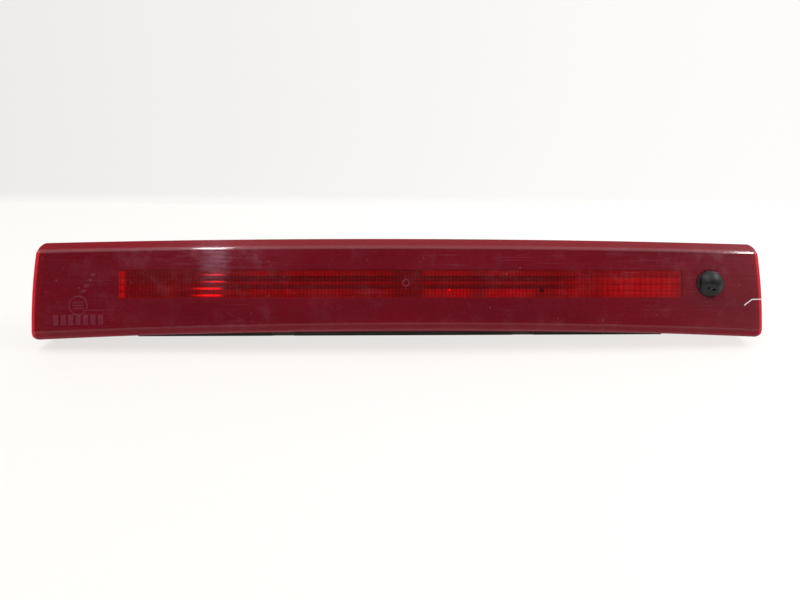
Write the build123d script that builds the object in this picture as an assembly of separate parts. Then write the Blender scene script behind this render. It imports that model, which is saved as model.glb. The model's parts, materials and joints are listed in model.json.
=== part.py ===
from build123d import *

import math
import os

# High-mounted third brake light for a tailgate, with a rear-window washer jet at one end.
#
# Frame: X runs along the lamp (+X towards the washer jet), the lens faces -Y, +Z is up.
# The origin is on the mounting plane (rear face of the body gasket), at the middle of the lamp,
# level with the centre line of the light window. All sizes are in millimetres.

# ---- overall form -------------------------------------------------------------------------
HALF = 155.0            # half the lamp's length
PLAN_SAG = 5.5          # how far the ends fall back from the middle, seen from above
ARCH_RISE = 2.2         # how far the middle stands above the ends, seen from the front
TOP = 19.0              # lens top edge at the middle
BOTTOM = -20.1          # lens bottom edge at the middle
TOP_CORNER = 4.6        # corner radii of the lens outline
BOTTOM_CORNER = 1.9
END_TOP = 153.2         # half length just under the top corner
END_MIDDLE = 154.7      # half length at mid height
END_BOTTOM = 155.0      # half length just above the bottom corner

# ---- lens ---------------------------------------------------------------------------------
FRONT = -27.0           # front of the lens at the middle
LENS_WALL = 2.5
LENS_REAR = -9.0        # rear rim of the lens
CROWN = 0.4             # front face is crowned by this much between its edges
BEVEL_HEIGHT = 3.3      # bevelled band along the top edge
BEVEL_DEPTH = 3.6
CREASE_RADIUS = 1.1
LOWER_ROUND = 4.0       # rounding along the bottom edge
ROOF_DRAFT = 0.25       # extra height at the rear rim, for mould release
FLOOR_DRAFT = 0.35
END_EASE = 0.8          # eased corner where the front face meets the ends

# ---- moulded marks on the lens face -----------------------------------------------------------
MARK_HEIGHT = 0.12      # how far the marks stand proud of the lens
GATE_RING_OUTER = 1.65
GATE_RING_INNER = 1.05
MARK_RING_X = -139.5
MARK_RING_Z = -9.5
MARK_RING_OUTER = 4.0
MARK_RING_INNER = 3.5
MARK_STRIPE_OFFSETS = (-0.8, 0.4)
MARK_STRIPE_HALF = 2.4
MARK_STRIPE_TALL = 0.4
MARK_BAR_COUNT = 7
MARK_BAR_START = -149.0
MARK_BAR_PITCH = 3.1
MARK_BAR_WIDTH = 2.2
MARK_BAR_LOW = -18.0
MARK_BAR_TALL = 4.2

# ---- light window, mask and optic -----------------------------------------------------------
WINDOW_HALF = 120.0
WINDOW_HEIGHT = 11.7
MASK_FRONT = -23.8
MASK_THICK = 1.5
MASK_TOP = 14.0
MASK_BOTTOM = -17.0
MASK_INSET = 3.3
MASK_POST_RADIUS = 1.4
MASK_POST_X = (-60.0, 60.0)
MASK_POST_Z = (11.2, -12.2)
RIM_WALL = 1.2
RIM_REAR = -16.0
RIM_GAP = 0.3           # room between the optic and the rim round it
OPTIC_FRONT = -22.1
OPTIC_THICK = 2.2
OPTIC_HALF = 122.4
OPTIC_HALF_HEIGHT = 8.3
FLUTE_ROWS = 4
FLUTE_COLUMNS = 100
FLUTE_DEPTH = 0.35

# ---- electrics --------------------------------------------------------------------------------
BOARD_FRONT = -10.6
BOARD_THICK = 1.6
BOARD_HALF = 123.5
BOARD_HALF_HEIGHT = 9.0
LED_COUNT = 16
LED_PITCH = 15.0
LED_SIDE = 7.6
LED_TALL = 2.8
LED_DOME = 1.5
LEAD_RADIUS = 0.3
LEAD_SPREAD = 2.54      # lead centres stand this far from the LED centre
REFLECTOR_FRONT = -21.0
REFLECTOR_GAP = 0.2     # between the reflector block and the board
REFLECTOR_HALF = 121.5
REFLECTOR_HALF_HEIGHT = 7.4
CUP_WIDTH = 14.0
CUP_HEIGHT = 12.6
SCREW_PLACES = (-90.0, 0.0, 90.0)
SCREW_HEAD_RADIUS = 2.5
SCREW_SHANK_RADIUS = 1.2
RECESS_LONG = 2.6       # cross recess in the screw head
RECESS_SHORT = 0.5
HEADER_X = -30.0
HEADER_WIDTH = 18.0
HEADER_HEIGHT = 12.0
HEADER_WALL = 1.5
HEADER_REAR = 15.0
HEADER_SEAL_WALL = 1.1
TERMINAL_OFFSET = 2.5   # each blade stands this far from the middle of the header
BLADE_HALF_WIDTH = 1.4
BLADE_HALF_THICK = 0.4

# ---- housing, gasket and fixings --------------------------------------------------------------
PLATE_FRONT = -8.9
PLATE_REAR = -3.0
TRAY_FRONT = -14.0
TRAY_FLOOR = -5.5
TRAY_OUTER_INSET = 3.6
TRAY_INNER_INSET = 5.4
RAIL_HALF = 117.0
RAIL_BOTTOM = -22.2
GASKET_OUTER_INSET = 1.6
GASKET_WIDTH = 3.0
SOFT_GAP = 0.02         # soft parts stand this far clear of what they press on
PIN_RADIUS = 3.0
PIN_LENGTH = 9.0
PIN_PLACES = (-100.0, 100.0)
PIN_COLLAR_RADIUS = 4.2
HOOK_PLACES = (-75.0, 75.0)
HOOK_HALF_WIDTH = 5.0
TOWER_PLACES = (-53.0, 53.0)
NOTCH_HALF = 4.7        # half width of the notch in the lower edge below each tower
TOWER_Z = -11.5
TOWER_WIDTH = 8.0
TOWER_THICK = 3.2
TOWER_TIP = 11.0
CLIP_STEEL = 0.45
WING_HINGE_Y = 11.2
WING_HINGE_OFFSET = 2.45
BREATHER_X = 62.0
BREATHER_BORE = 1.0
BREATHER_STUB_RADIUS = 3.0
BREATHER_STUB_RISE = 0.9
RIB_LEFT = -128.0
RIB_RIGHT = 122.0
RIB_THICK = 1.0
RIB_RISE = 1.2
RIB_PITCH = 20.0
RIB_LEVELS = (3.1, -5.1)
TUNNEL_FRONT = -19.6    # the tube round the washer barrel starts just behind the lens
TUNNEL_RADIUS = 6.2
TUNNEL_BORE = 4.8

# ---- washer jet -------------------------------------------------------------------------------
JET_X = 130.5
JET_SEAT = -22.6        # flat seat cut into the lens for the jet
JET_SEAL_THICK = 0.8
JET_HEAD_RADIUS = 5.3
JET_HEAD_TALL = 4.6
JET_HEAD_SKIRT = 1.5    # straight part of the head below its dome
JET_FLAT = 4.75         # both flats stand this far from the head's centre
JET_PLUG_RADIUS = 3.0
JET_RECESS_GAP = 0.35   # between the head and the recess in the lens
MASK_JET_RADIUS = 6.4
BARREL_RADIUS = 4.5
BARREL_FRONT = -21.4
BARREL_REAR = 3.0
SPIGOT_RADIUS = 2.5
SPIGOT_REAR = 22.0
SPRAY = Vector(-0.33, -0.70, -0.63).normalized()
FACET_POINT = Vector(JET_X - 1.0, -26.4, -2.3)
CARTRIDGE_RADIUS = 2.15
CARTRIDGE_LENGTH = 3.0
NOZZLE_BALL_RADIUS = 1.3
NOZZLE_BALL_DEPTH = 1.55
WATER_BORE = 1.2
CHAMBER_RADIUS = 3.0
CHAMBER_FRONT = -14.0
CHAMBER_REAR = -4.0
CHECK_BALL_RADIUS = 1.5
CHECK_BALL_Y = -7.05
VALVE_SEAT_FRONT = -6.4
VALVE_STOP_THICK = 1.0
VALVE_FIT = 0.02        # the valve pieces stand this far clear of the chamber
SPRING_RADIUS = 1.35
SPRING_WIRE = 0.17
SPRING_TURNS = 4
LOCK_NUT_RADIUS = 7.4
LOCK_NUT_THICK = 2.4


# ---- shared helpers ---------------------------------------------------------------------------
def block(x0, x1, y0, y1, z0, z1):
    """A box between two corners."""
    centre = Pos((x0 + x1) / 2, (y0 + y1) / 2, (z0 + z1) / 2)
    return centre * Box(x1 - x0, y1 - y0, z1 - z0)


def rod_y(radius, y0, y1, x=0.0, z=0.0):
    """A round rod along Y between y0 and y1."""
    return Pos(x, (y0 + y1) / 2, z) * Rot(90, 0, 0) * Cylinder(radius, y1 - y0)


def ring_y(outer, inner, y0, y1, x=0.0, z=0.0):
    """A round ring along Y."""
    return rod_y(outer, y0, y1, x, z) - rod_y(inner, y0 - 1, y1 + 1, x, z)


def face_from(edges, plane=Plane.XY):
    """A flat face from a closed loop of edges drawn in the plane's own coordinates."""
    return plane * make_face(edges)


def polygon(points, plane=Plane.XY):
    """A flat face from corner points drawn in the plane's own coordinates."""
    return face_from(Polyline(*points, close=True).edges(), plane)


def side_profile(points, x0, x1):
    """A closed outline of (y, z) points, extruded from x0 to x1."""
    return Pos(x0, 0, 0) * extrude(polygon(points, Plane.YZ), amount=x1 - x0, dir=(1, 0, 0))


def arch_drop(x):
    """How far the arched edges fall at a distance x from the middle."""
    return ARCH_RISE * (x / HALF) ** 2


def plan_back(x):
    """How far the curved front falls back at a distance x from the middle."""
    radius = (HALF**2 + PLAN_SAG**2) / (2 * PLAN_SAG)
    return radius - math.sqrt(radius**2 - x**2)


def outline_prism(inset, y0, y1, spare=0.0):
    """The lamp's front outline moved inwards by inset, extruded from y0 to y1.

    spare lifts the long edges outwards, which leaves a tool that only shapes the two ends.
    """
    top_round = max(TOP_CORNER - inset, 0.8)
    low_round = max(BOTTOM_CORNER - inset, 0.8)
    top_x, mid_x, low_x = END_TOP - inset, END_MIDDLE - inset, END_BOTTOM - inset
    top_z = TOP + ROOF_DRAFT - inset - arch_drop(top_x - top_round)
    low_z = BOTTOM - FLOOR_DRAFT + inset - arch_drop(low_x - low_round)
    slack = 1 - math.sqrt(0.5)

    def end(side):
        """One rounded end, from the top edge to the bottom edge; side is +1 or -1."""
        a = (side * (top_x - top_round), top_z)
        ab = (side * (top_x - slack * top_round), top_z - slack * top_round)
        b = (side * top_x, top_z - top_round)
        c = (side * mid_x, -5.0)
        d = (side * low_x, low_z + low_round)
        de = (side * (low_x - slack * low_round), low_z + slack * low_round)
        e = (side * (low_x - low_round), low_z)
        return a, e, [ThreePointArc(a, ab, b), ThreePointArc(b, c, d), ThreePointArc(d, de, e)]

    right_top, right_low, right_edges = end(1)
    left_top, left_low, left_edges = end(-1)
    top_edge = ThreePointArc(left_top, (0, TOP + ROOF_DRAFT - inset + spare), right_top)
    low_edge = ThreePointArc(left_low, (0, BOTTOM - FLOOR_DRAFT + inset - spare), right_low)
    face = face_from([top_edge, low_edge, *right_edges, *left_edges], Plane.XZ)
    return Pos(0, y1, 0) * extrude(face, amount=y1 - y0, dir=(0, -1, 0))


def sweep_along_lamp(section):
    """Turn a YZ section about the tilted axis that gives both the plan curve and the arch."""
    sag = math.hypot(PLAN_SAG, ARCH_RISE)
    radius = (HALF**2 + sag**2) / (2 * sag)
    back, down = PLAN_SAG / sag, ARCH_RISE / sag
    centre = (0, FRONT + radius * back, -radius * down)
    axis = Axis(centre, (0, down, back))
    half_angle = math.degrees(math.asin(HALF / radius)) * 1.04
    turned = revolve(section, axis=axis, revolution_arc=2 * half_angle)
    return turned.rotate(axis, -half_angle)


def lens_section(inset, rear):
    """The lens outline in the YZ plane, moved inwards by inset, open end at rear."""
    slope = math.hypot(BEVEL_DEPTH, BEVEL_HEIGHT)
    edge_front = FRONT + CROWN
    roof = (rear, TOP + ROOF_DRAFT - inset)
    shoulder = (edge_front + BEVEL_DEPTH + inset * (slope - BEVEL_DEPTH) / BEVEL_HEIGHT, TOP - inset)
    crease = (edge_front + inset, TOP - BEVEL_HEIGHT - inset * (slope - BEVEL_HEIGHT) / BEVEL_DEPTH)
    middle = (FRONT + inset, -1.0)
    lower = max(LOWER_ROUND - inset, 1.0)
    slack = lower * (1 - math.sqrt(0.5))
    round_top = (edge_front + inset, BOTTOM + inset + lower)
    round_mid = (edge_front + inset + slack, BOTTOM + inset + slack)
    round_end = (edge_front + inset + lower, BOTTOM + inset)
    floor = (rear, BOTTOM + inset - FLOOR_DRAFT)
    edges = [
        Line(roof, shoulder),
        Line(shoulder, crease),
        Spline(crease, middle, round_top),
        ThreePointArc(round_top, round_mid, round_end),
        Line(round_end, floor),
        Line(floor, roof),
    ]
    face = face_from(edges, Plane.YZ)
    crease_corner = face.vertices().sort_by_distance((0, *crease))[0]
    return fillet(crease_corner, CREASE_RADIUS)


def lens_form(inset, rear=LENS_REAR):
    """The solid lens form moved inwards by inset, cut flat at rear."""
    ends = outline_prism(inset, FRONT + PLAN_SAG + CROWN + END_EASE, rear, spare=14.0)
    front_face = ends.faces().sort_by(Axis.Y)[0]
    ends += extrude(front_face, amount=8, taper=45)
    return sweep_along_lamp(lens_section(inset, rear + 1)) & ends


def curved_band(y0, y1, z0, z1, half_length):
    """A straight band that follows the plan curve only, y0 and y1 given at the middle."""
    radius = (HALF**2 + PLAN_SAG**2) / (2 * PLAN_SAG)
    axis = Axis((0, FRONT + radius, 0), (0, 0, 1))
    section = polygon([(y0, z0), (y1, z0), (y1, z1), (y0, z1)], Plane.YZ)
    half_angle = math.degrees(math.asin(half_length / radius)) * 1.05
    band = revolve(section, axis=axis, revolution_arc=2 * half_angle).rotate(axis, -half_angle)
    return band & block(-half_length, half_length, y0 - 20, y1 + 20, z0 - 1, z1 + 1)


def spray_plane(depth):
    """The plane across the spray axis, depth millimetres inside the facet; x runs along the slot."""
    slot_direction = Vector(0, 0, 1).cross(SPRAY)
    turned = slot_direction.rotate(Axis((0, 0, 0), SPRAY), -28)
    return Plane(origin=FACET_POINT - SPRAY * depth, x_dir=turned, z_dir=SPRAY)


def on_spray(depth, shape):
    """Place a shape built on the XY plane on the spray axis at this depth."""
    return spray_plane(depth) * shape


# ---- lens, mask and optic ----------------------------------------------------------------------
def moulded_marks():
    """The gate mark at the middle, and a plain ring and bars in place of moulded lettering."""
    front, rear = FRONT - 2, FRONT + 8
    marks = [ring_y(GATE_RING_OUTER, GATE_RING_INNER, front, rear)]
    marks.append(ring_y(MARK_RING_OUTER, MARK_RING_INNER, front, rear, MARK_RING_X, MARK_RING_Z))
    for offset in MARK_STRIPE_OFFSETS:
        x0, x1 = MARK_RING_X - MARK_STRIPE_HALF, MARK_RING_X + MARK_STRIPE_HALF
        z = MARK_RING_Z + offset
        marks.append(block(x0, x1, front, rear, z, z + MARK_STRIPE_TALL))
    for index in range(MARK_BAR_COUNT):
        x = MARK_BAR_START + MARK_BAR_PITCH * index
        z = MARK_BAR_LOW
        marks.append(block(x, x + MARK_BAR_WIDTH, front, rear, z, z + MARK_BAR_TALL))
    return marks


def outer_lens():
    """The red cap: an open-backed shell with a stepped hole for the washer jet."""
    lens = lens_form(0.0)
    lens -= lens_form(LENS_WALL, LENS_REAR + 4)
    mark_skin = lens_form(-MARK_HEIGHT) - lens_form(1.0)
    for mark in moulded_marks():
        lens += mark & mark_skin
    lens -= rod_y(BARREL_RADIUS + 0.3, FRONT - 5, -10, JET_X)
    lens -= rod_y(JET_HEAD_RADIUS + JET_RECESS_GAP, FRONT - 5, JET_SEAT, JET_X)
    return lens


def bezel_mask():
    """Black plate behind the lens with the light window, a rim round the optic and four posts."""
    top, low = MASK_TOP, MASK_BOTTOM
    front, rear = MASK_FRONT, MASK_FRONT + MASK_THICK
    section = polygon([(front, low), (rear, low), (rear, top), (front, top)], Plane.YZ)
    ends = outline_prism(MASK_INSET, FRONT, -5, spare=4.0)
    mask = sweep_along_lamp(section) & ends
    hollow_x, hollow_z = OPTIC_HALF + RIM_GAP, OPTIC_HALF_HEIGHT + RIM_GAP
    rim_x, rim_z = hollow_x + RIM_WALL, hollow_z + RIM_WALL
    rim = curved_band(rear - 0.6, RIM_REAR - 3, -rim_z, rim_z, rim_x)
    rim -= block(-rim_x - 1, rim_x + 1, RIM_REAR, 0, -20, 20)
    rim -= curved_band(OPTIC_FRONT - 0.1, RIM_REAR + 6, -hollow_z, hollow_z, hollow_x)
    mask += rim
    for x in MASK_POST_X:
        for z in MASK_POST_Z:
            post_front = rear - 0.5 + plan_back(x)
            mask += rod_y(MASK_POST_RADIUS, post_front, TRAY_FLOOR - 0.1, x, z)
    half = WINDOW_HEIGHT / 2
    mask -= block(-WINDOW_HALF, WINDOW_HALF, FRONT, OPTIC_FRONT + 4, -half, half)
    mask -= rod_y(MASK_JET_RADIUS, FRONT, 0, JET_X)
    return mask


def optic_plate():
    """Lenticular plate: four flutes along the front, upright flutes across the back."""
    row = WINDOW_HEIGHT / FLUTE_ROWS
    top, low = OPTIC_HALF_HEIGHT, -OPTIC_HALF_HEIGHT
    start = -WINDOW_HEIGHT / 2
    skin = OPTIC_FRONT + FLUTE_DEPTH
    far = OPTIC_FRONT + 20
    edges = [Line((far, low), (skin, low)), Line((skin, low), (skin, start))]
    for index in range(FLUTE_ROWS):
        z0 = start + index * row
        edges.append(ThreePointArc((skin, z0), (OPTIC_FRONT, z0 + row / 2), (skin, z0 + row)))
    edges += [
        Line((skin, -start), (skin, top)),
        Line((skin, top), (far, top)),
        Line((far, top), (far, low)),
    ]
    section = face_from(edges, Plane.YZ)
    radius = (HALF**2 + PLAN_SAG**2) / (2 * PLAN_SAG)
    axis = Axis((0, FRONT + radius, 0), (0, 0, 1))
    half_angle = math.degrees(math.asin(OPTIC_HALF / radius)) * 1.05
    front = revolve(section, axis=axis, revolution_arc=2 * half_angle).rotate(axis, -half_angle)

    pitch = 2 * OPTIC_HALF / FLUTE_COLUMNS
    back_line = OPTIC_FRONT + OPTIC_THICK

    def back_point(x, depth=0.0):
        return (x, back_line + plan_back(x) - depth)

    waves = [
        ThreePointArc(
            back_point(-OPTIC_HALF + index * pitch, FLUTE_DEPTH),
            back_point(-OPTIC_HALF + (index + 0.5) * pitch),
            back_point(-OPTIC_HALF + (index + 1) * pitch, FLUTE_DEPTH),
        )
        for index in range(FLUTE_COLUMNS)
    ]
    ahead = OPTIC_FRONT - 5
    sides = [
        Line(back_point(-OPTIC_HALF, FLUTE_DEPTH), (-OPTIC_HALF, ahead)),
        Line((-OPTIC_HALF, ahead), (OPTIC_HALF, ahead)),
        Line((OPTIC_HALF, ahead), back_point(OPTIC_HALF, FLUTE_DEPTH)),
    ]
    fluted = face_from(waves + sides)
    return front & (Pos(0, 0, low) * extrude(fluted, amount=top - low, dir=(0, 0, 1)))


# ---- electrics -----------------------------------------------------------------------------------
def led_centres():
    first = -(LED_COUNT - 1) / 2 * LED_PITCH
    return [first + index * LED_PITCH for index in range(LED_COUNT)]


def lead_places(x):
    return [(x + sx * LEAD_SPREAD, sz * LEAD_SPREAD) for sx in (-1, 1) for sz in (-1, 1)]


def reflector():
    """A metallised block with one tapered cup for each LED."""
    rear = BOARD_FRONT - REFLECTOR_GAP
    height = REFLECTOR_HALF_HEIGHT
    body = block(-REFLECTOR_HALF, REFLECTOR_HALF, REFLECTOR_FRONT, rear, -height, height)
    body -= curved_band(-40, OPTIC_FRONT + OPTIC_THICK + 0.3, -20, 20, HALF)
    side = LED_SIDE / 2 + 0.2
    for x in led_centres():
        throat_plane = Plane(origin=(x, rear + 0.1, 0), x_dir=(1, 0, 0), z_dir=(0, -1, 0))
        mouth_plane = Plane(origin=(x, REFLECTOR_FRONT - 1, 0), x_dir=(1, 0, 0), z_dir=(0, -1, 0))
        throat = throat_plane * Rectangle(2 * side, 2 * side)
        mouth = mouth_plane * Rectangle(CUP_WIDTH, CUP_HEIGHT)
        body -= loft([throat.face(), mouth.face()])
    for x in SCREW_PLACES:
        body -= rod_y(SCREW_HEAD_RADIUS + 0.4, rear - 2.2, rear + 1, x)
    return body


def circuit_board():
    rear = BOARD_FRONT + BOARD_THICK
    board = block(-BOARD_HALF, BOARD_HALF, BOARD_FRONT, rear, -BOARD_HALF_HEIGHT, BOARD_HALF_HEIGHT)
    for x in led_centres():
        for lead_x, lead_z in lead_places(x):
            board -= rod_y(LEAD_RADIUS + 0.1, BOARD_FRONT - 1, rear + 1, lead_x, lead_z)
    for x in SCREW_PLACES:
        board -= rod_y(1.6, BOARD_FRONT - 1, rear + 1, x)
    for x in terminal_places():
        board -= block(x - 0.5, x + 0.5, BOARD_FRONT - 1, rear + 1, -0.5, 0.5)
    return board


def led_packages():
    """Square four-lead LEDs, each with a round shoulder, a dome and one cut corner."""
    group = []
    half = LED_SIDE / 2
    for x in led_centres():
        body = block(x - half, x + half, BOARD_FRONT - LED_TALL, BOARD_FRONT, -half, half)
        body = chamfer(body.edges().filter_by(Axis.Y).sort_by(Axis.X)[-1], 0.9)
        body += rod_y(2.6, BOARD_FRONT - LED_TALL - 0.4, BOARD_FRONT - LED_TALL + 0.5, x)
        dome = Pos(x, BOARD_FRONT - LED_TALL, 0) * Sphere(LED_DOME + 0.3)
        body += dome & block(x - 3, x + 3, BOARD_FRONT - LED_TALL - 3, BOARD_FRONT - 1, -3, 3)
        group.append(body)
    return Compound(children=group)


def led_leads():
    end = BOARD_FRONT + BOARD_THICK + 1.4
    return Compound(
        children=[
            rod_y(LEAD_RADIUS, BOARD_FRONT + 0.02, end, lead_x, lead_z)
            for x in led_centres()
            for lead_x, lead_z in lead_places(x)
        ]
    )


def surface_parts(places, length, width, height):
    """Small parts soldered to the rear of the board, one at each (x, z)."""
    face = BOARD_FRONT + BOARD_THICK + 0.01
    group = []
    for x, z in places:
        part = block(x - length / 2, x + length / 2, face, face + height, z - width / 2, z + width / 2)
        group.append(chamfer(part.edges().group_by(Axis.Y)[-1], 0.12))
    return Compound(children=group)


def series_resistors():
    places = [(x, z) for x in (-112.5, -67.5, 37.5, 82.5) for z in (-6.0, 6.0)]
    return surface_parts(places, 6.3, 3.2, 0.6)


def protection_diode():
    return surface_parts([(-48.0, 6.0)], 4.6, 2.6, 2.1)


def suppressor_capacitor():
    return surface_parts([(-48.0, -6.0)], 3.2, 2.5, 1.4)


def terminal_places():
    return (HEADER_X - TERMINAL_OFFSET, HEADER_X + TERMINAL_OFFSET)


def connector_terminals():
    """Two flat blades, each with a narrow tail soldered through the board."""
    group = []
    wide, half = BLADE_HALF_WIDTH, BLADE_HALF_THICK
    for x in terminal_places():
        blade = block(x - wide, x + wide, -2.0, 11.0, -half, half)
        blade = chamfer(blade.edges().group_by(Axis.Y)[-1], 0.25)
        group.append(blade + block(x - half, x + half, BOARD_FRONT - 0.1, -1.5, -half, half))
    return Compound(children=group)


def connector_header():
    """Socket for the harness plug, standing on the board and passing through the housing."""
    half_x, half_z = HEADER_WIDTH / 2, HEADER_HEIGHT / 2
    foot = BOARD_FRONT + BOARD_THICK + 0.05
    shell = block(HEADER_X - half_x, HEADER_X + half_x, foot, HEADER_REAR, -half_z, half_z)
    shell = fillet(shell.edges().filter_by(Axis.Y), 1.2)
    inner_x, inner_z = half_x - HEADER_WALL, half_z - HEADER_WALL
    shell -= block(HEADER_X - inner_x, HEADER_X + inner_x, 1, HEADER_REAR + 1, -inner_z, inner_z)
    shell -= block(HEADER_X - inner_x, HEADER_X + inner_x, foot - 1, -7.2, -inner_z, inner_z)
    ramp = [(5.0, half_z - 0.2), (5.0, half_z + 1.6), (7.0, half_z + 1.6), (11.0, half_z - 0.2)]
    shell += side_profile(ramp, HEADER_X - 2.5, HEADER_X + 2.5)
    for side in (-1, 1):
        x = HEADER_X + side * (half_x - 3.2)
        shell += block(x - 0.4, x + 0.4, 1, HEADER_REAR - 2, -half_z + 1, -half_z + 2.4)
    wide, half = BLADE_HALF_WIDTH + 0.05, BLADE_HALF_THICK + 0.05
    for x in terminal_places():
        shell -= block(x - wide, x + wide, -2.05, 2, -half, half)
        shell -= block(x - half, x + half, foot - 1, -1, -half, half)
    return shell


def connector_seal():
    """Rubber frame between the header and the opening in the housing."""
    y0, y1 = TRAY_FLOOR + 0.1, PLATE_REAR - 0.1

    def frame_block(margin, front, rear):
        half_x, half_z = HEADER_WIDTH / 2 + margin, HEADER_HEIGHT / 2 + margin
        return block(HEADER_X - half_x, HEADER_X + half_x, front, rear, -half_z, half_z)

    return frame_block(HEADER_SEAL_WALL, y0, y1) - frame_block(SOFT_GAP, y0 - 1, y1 + 1)


def board_screws():
    """Pan-head tapping screws with a cross recess, driven from the LED side."""
    group = []
    for x in SCREW_PLACES:
        head = rod_y(SCREW_HEAD_RADIUS, BOARD_FRONT - 1.6, BOARD_FRONT - 0.02, x)
        head = fillet(head.edges().sort_by(Axis.Y)[0], 0.7)
        shank = rod_y(SCREW_SHANK_RADIUS, BOARD_FRONT - 0.5, -6.2, x)
        for width, height in ((RECESS_LONG, RECESS_SHORT), (RECESS_SHORT, RECESS_LONG)):
            x0, x1 = x - width / 2, x + width / 2
            head -= block(x0, x1, BOARD_FRONT - 3, BOARD_FRONT - 0.8, -height / 2, height / 2)
        group.append(head + shank)
    return Compound(children=group)


# ---- housing and seals -----------------------------------------------------------------------------
def rail():
    """The straight lower edge of the housing, notched under each clip tower."""
    top = BOTTOM + 2.0
    body = block(-RAIL_HALF, RAIL_HALF, PLATE_FRONT, PLATE_REAR, RAIL_BOTTOM, top)
    ends = body.edges().filter_by(Axis.Y).group_by(Axis.Z)[0]
    body = chamfer(ends, 1.4)
    for x in TOWER_PLACES:
        x0, x1 = x - NOTCH_HALF, x + NOTCH_HALF
        body -= block(x0, x1, PLATE_FRONT - 1, PLATE_FRONT + 2.2, RAIL_BOTTOM - 1, top - 0.1)
    return body


def hook(x):
    """One hook for the upper edge of the body opening."""
    root = PLATE_REAR - 1
    points = [(root, 7.0), (7.0, 7.0), (7.6, 12.2), (4.2, 12.2), (4.2, 10.0), (root, 10.0)]
    return side_profile(points, x - HOOK_HALF_WIDTH, x + HOOK_HALF_WIDTH)


def tower(x):
    """A flat tongue that carries one push-in clip."""
    half = TOWER_THICK / 2
    x0, x1 = x - TOWER_WIDTH / 2, x + TOWER_WIDTH / 2
    body = block(x0, x1, PLATE_REAR - 1, TOWER_TIP, TOWER_Z - half, TOWER_Z + half)
    body = chamfer(body.edges().filter_by(Axis.X).group_by(Axis.Y)[-1], 0.5)
    for side in (-1, 1):
        gusset = [(PLATE_REAR - 1, 0.0), (1.0, 0.0), (PLATE_REAR - 1, 2.4)]
        shifted = [(y, TOWER_Z + side * (half - 0.1 + z)) for y, z in gusset]
        body += side_profile(shifted, x - 0.6, x + 0.6)
    return body


def stiffening_ribs():
    """Low ribs across the back of the tray, left clear around everything that passes through."""
    front, rear = PLATE_REAR - 0.5, PLATE_REAR + RIB_RISE
    half = RIB_THICK / 2
    ribs = [block(RIB_LEFT, RIB_RIGHT, front, rear, z - half, z + half) for z in RIB_LEVELS]
    for index in range(-6, 7):
        x = RIB_PITCH * index
        ribs.append(block(x - half, x + half, front, rear, -14.0, 11.5))
    ribs = Part() + ribs
    clear_of = [(HEADER_X, 12.5, 0, 9.5), (BREATHER_X, 6.5, 0, 6.5)]
    clear_of += [(x, 5.2, 0, 5.2) for x in PIN_PLACES]
    clear_of += [(x, 6.2, 8.5, 3.5) for x in HOOK_PLACES]
    clear_of += [(x, 6.0, TOWER_Z, 5.6) for x in TOWER_PLACES]
    for x, half_x, z, half_z in clear_of:
        ribs -= block(x - half_x, x + half_x, PLATE_REAR, PLATE_REAR + 3, z - half_z, z + half_z)
    return ribs


def rear_housing():
    """The black tray with everything moulded on it: bosses, pins, hooks, towers and the jet tunnel."""
    plate = Pos(0, 0, 0.3) * outline_prism(0.3, PLATE_FRONT, PLATE_REAR)
    wall = outline_prism(TRAY_OUTER_INSET, TRAY_FRONT, PLATE_REAR - 0.5)
    body = plate + wall + rail()
    body -= outline_prism(TRAY_INNER_INSET, TRAY_FRONT - 1, TRAY_FLOOR)
    for x in SCREW_PLACES:
        body += rod_y(3.0, BOARD_FRONT + BOARD_THICK + 0.02, PLATE_REAR - 1, x)
    for x in PIN_PLACES:
        pin = rod_y(PIN_RADIUS, PLATE_REAR - 1, PIN_LENGTH, x)
        body += chamfer(pin.edges().sort_by(Axis.Y)[-1], 0.8)
        collar_rear = PLATE_REAR + RIB_RISE
        body += ring_y(PIN_COLLAR_RADIUS, PIN_RADIUS - 0.5, PLATE_REAR - 0.5, collar_rear, x)
    for x in HOOK_PLACES:
        body += hook(x)
    for x in TOWER_PLACES:
        body += tower(x)
    body += stiffening_ribs()
    body += ring_y(TUNNEL_RADIUS, TUNNEL_BORE, TUNNEL_FRONT, TRAY_FLOOR + 1, JET_X)
    for x in SCREW_PLACES:
        body -= rod_y(SCREW_SHANK_RADIUS + 0.02, BOARD_FRONT, TRAY_FLOOR + 1.2, x)
    opening_margin = HEADER_SEAL_WALL + SOFT_GAP
    half_x, half_z = HEADER_WIDTH / 2 + opening_margin, HEADER_HEIGHT / 2 + opening_margin
    body -= block(HEADER_X - half_x, HEADER_X + half_x, -12, 0, -half_z, half_z)
    body -= rod_y(BARREL_RADIUS + 0.05, -25, 0, JET_X)
    stub_rear = PLATE_REAR + BREATHER_STUB_RISE
    body += ring_y(BREATHER_STUB_RADIUS, BREATHER_BORE, PLATE_REAR - 0.5, stub_rear, BREATHER_X)
    body -= rod_y(BREATHER_BORE, -12, 5, BREATHER_X)
    return body


def lens_sealant():
    """Bead that bonds the tray wall into the lens skirt."""
    y0, y1 = LENS_REAR - 2.6, LENS_REAR + 0.02
    outer = outline_prism(LENS_WALL + 0.35, y0, y1)
    return outer - outline_prism(TRAY_OUTER_INSET - 0.05, y0 - 1, y1 + 1)


def body_gasket():
    """Foam ring that seals the lamp to the body panel."""
    y0 = PLATE_REAR + SOFT_GAP
    inner_inset = GASKET_OUTER_INSET + GASKET_WIDTH
    return outline_prism(GASKET_OUTER_INSET, y0, 0) - outline_prism(inner_inset, y0 - 1, 1)


def breather_membrane():
    """Thin disc that lets air but no water through the breather."""
    y0 = PLATE_REAR + BREATHER_STUB_RISE + SOFT_GAP
    return rod_y(2.9, y0, y0 + 0.25, BREATHER_X)


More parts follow.
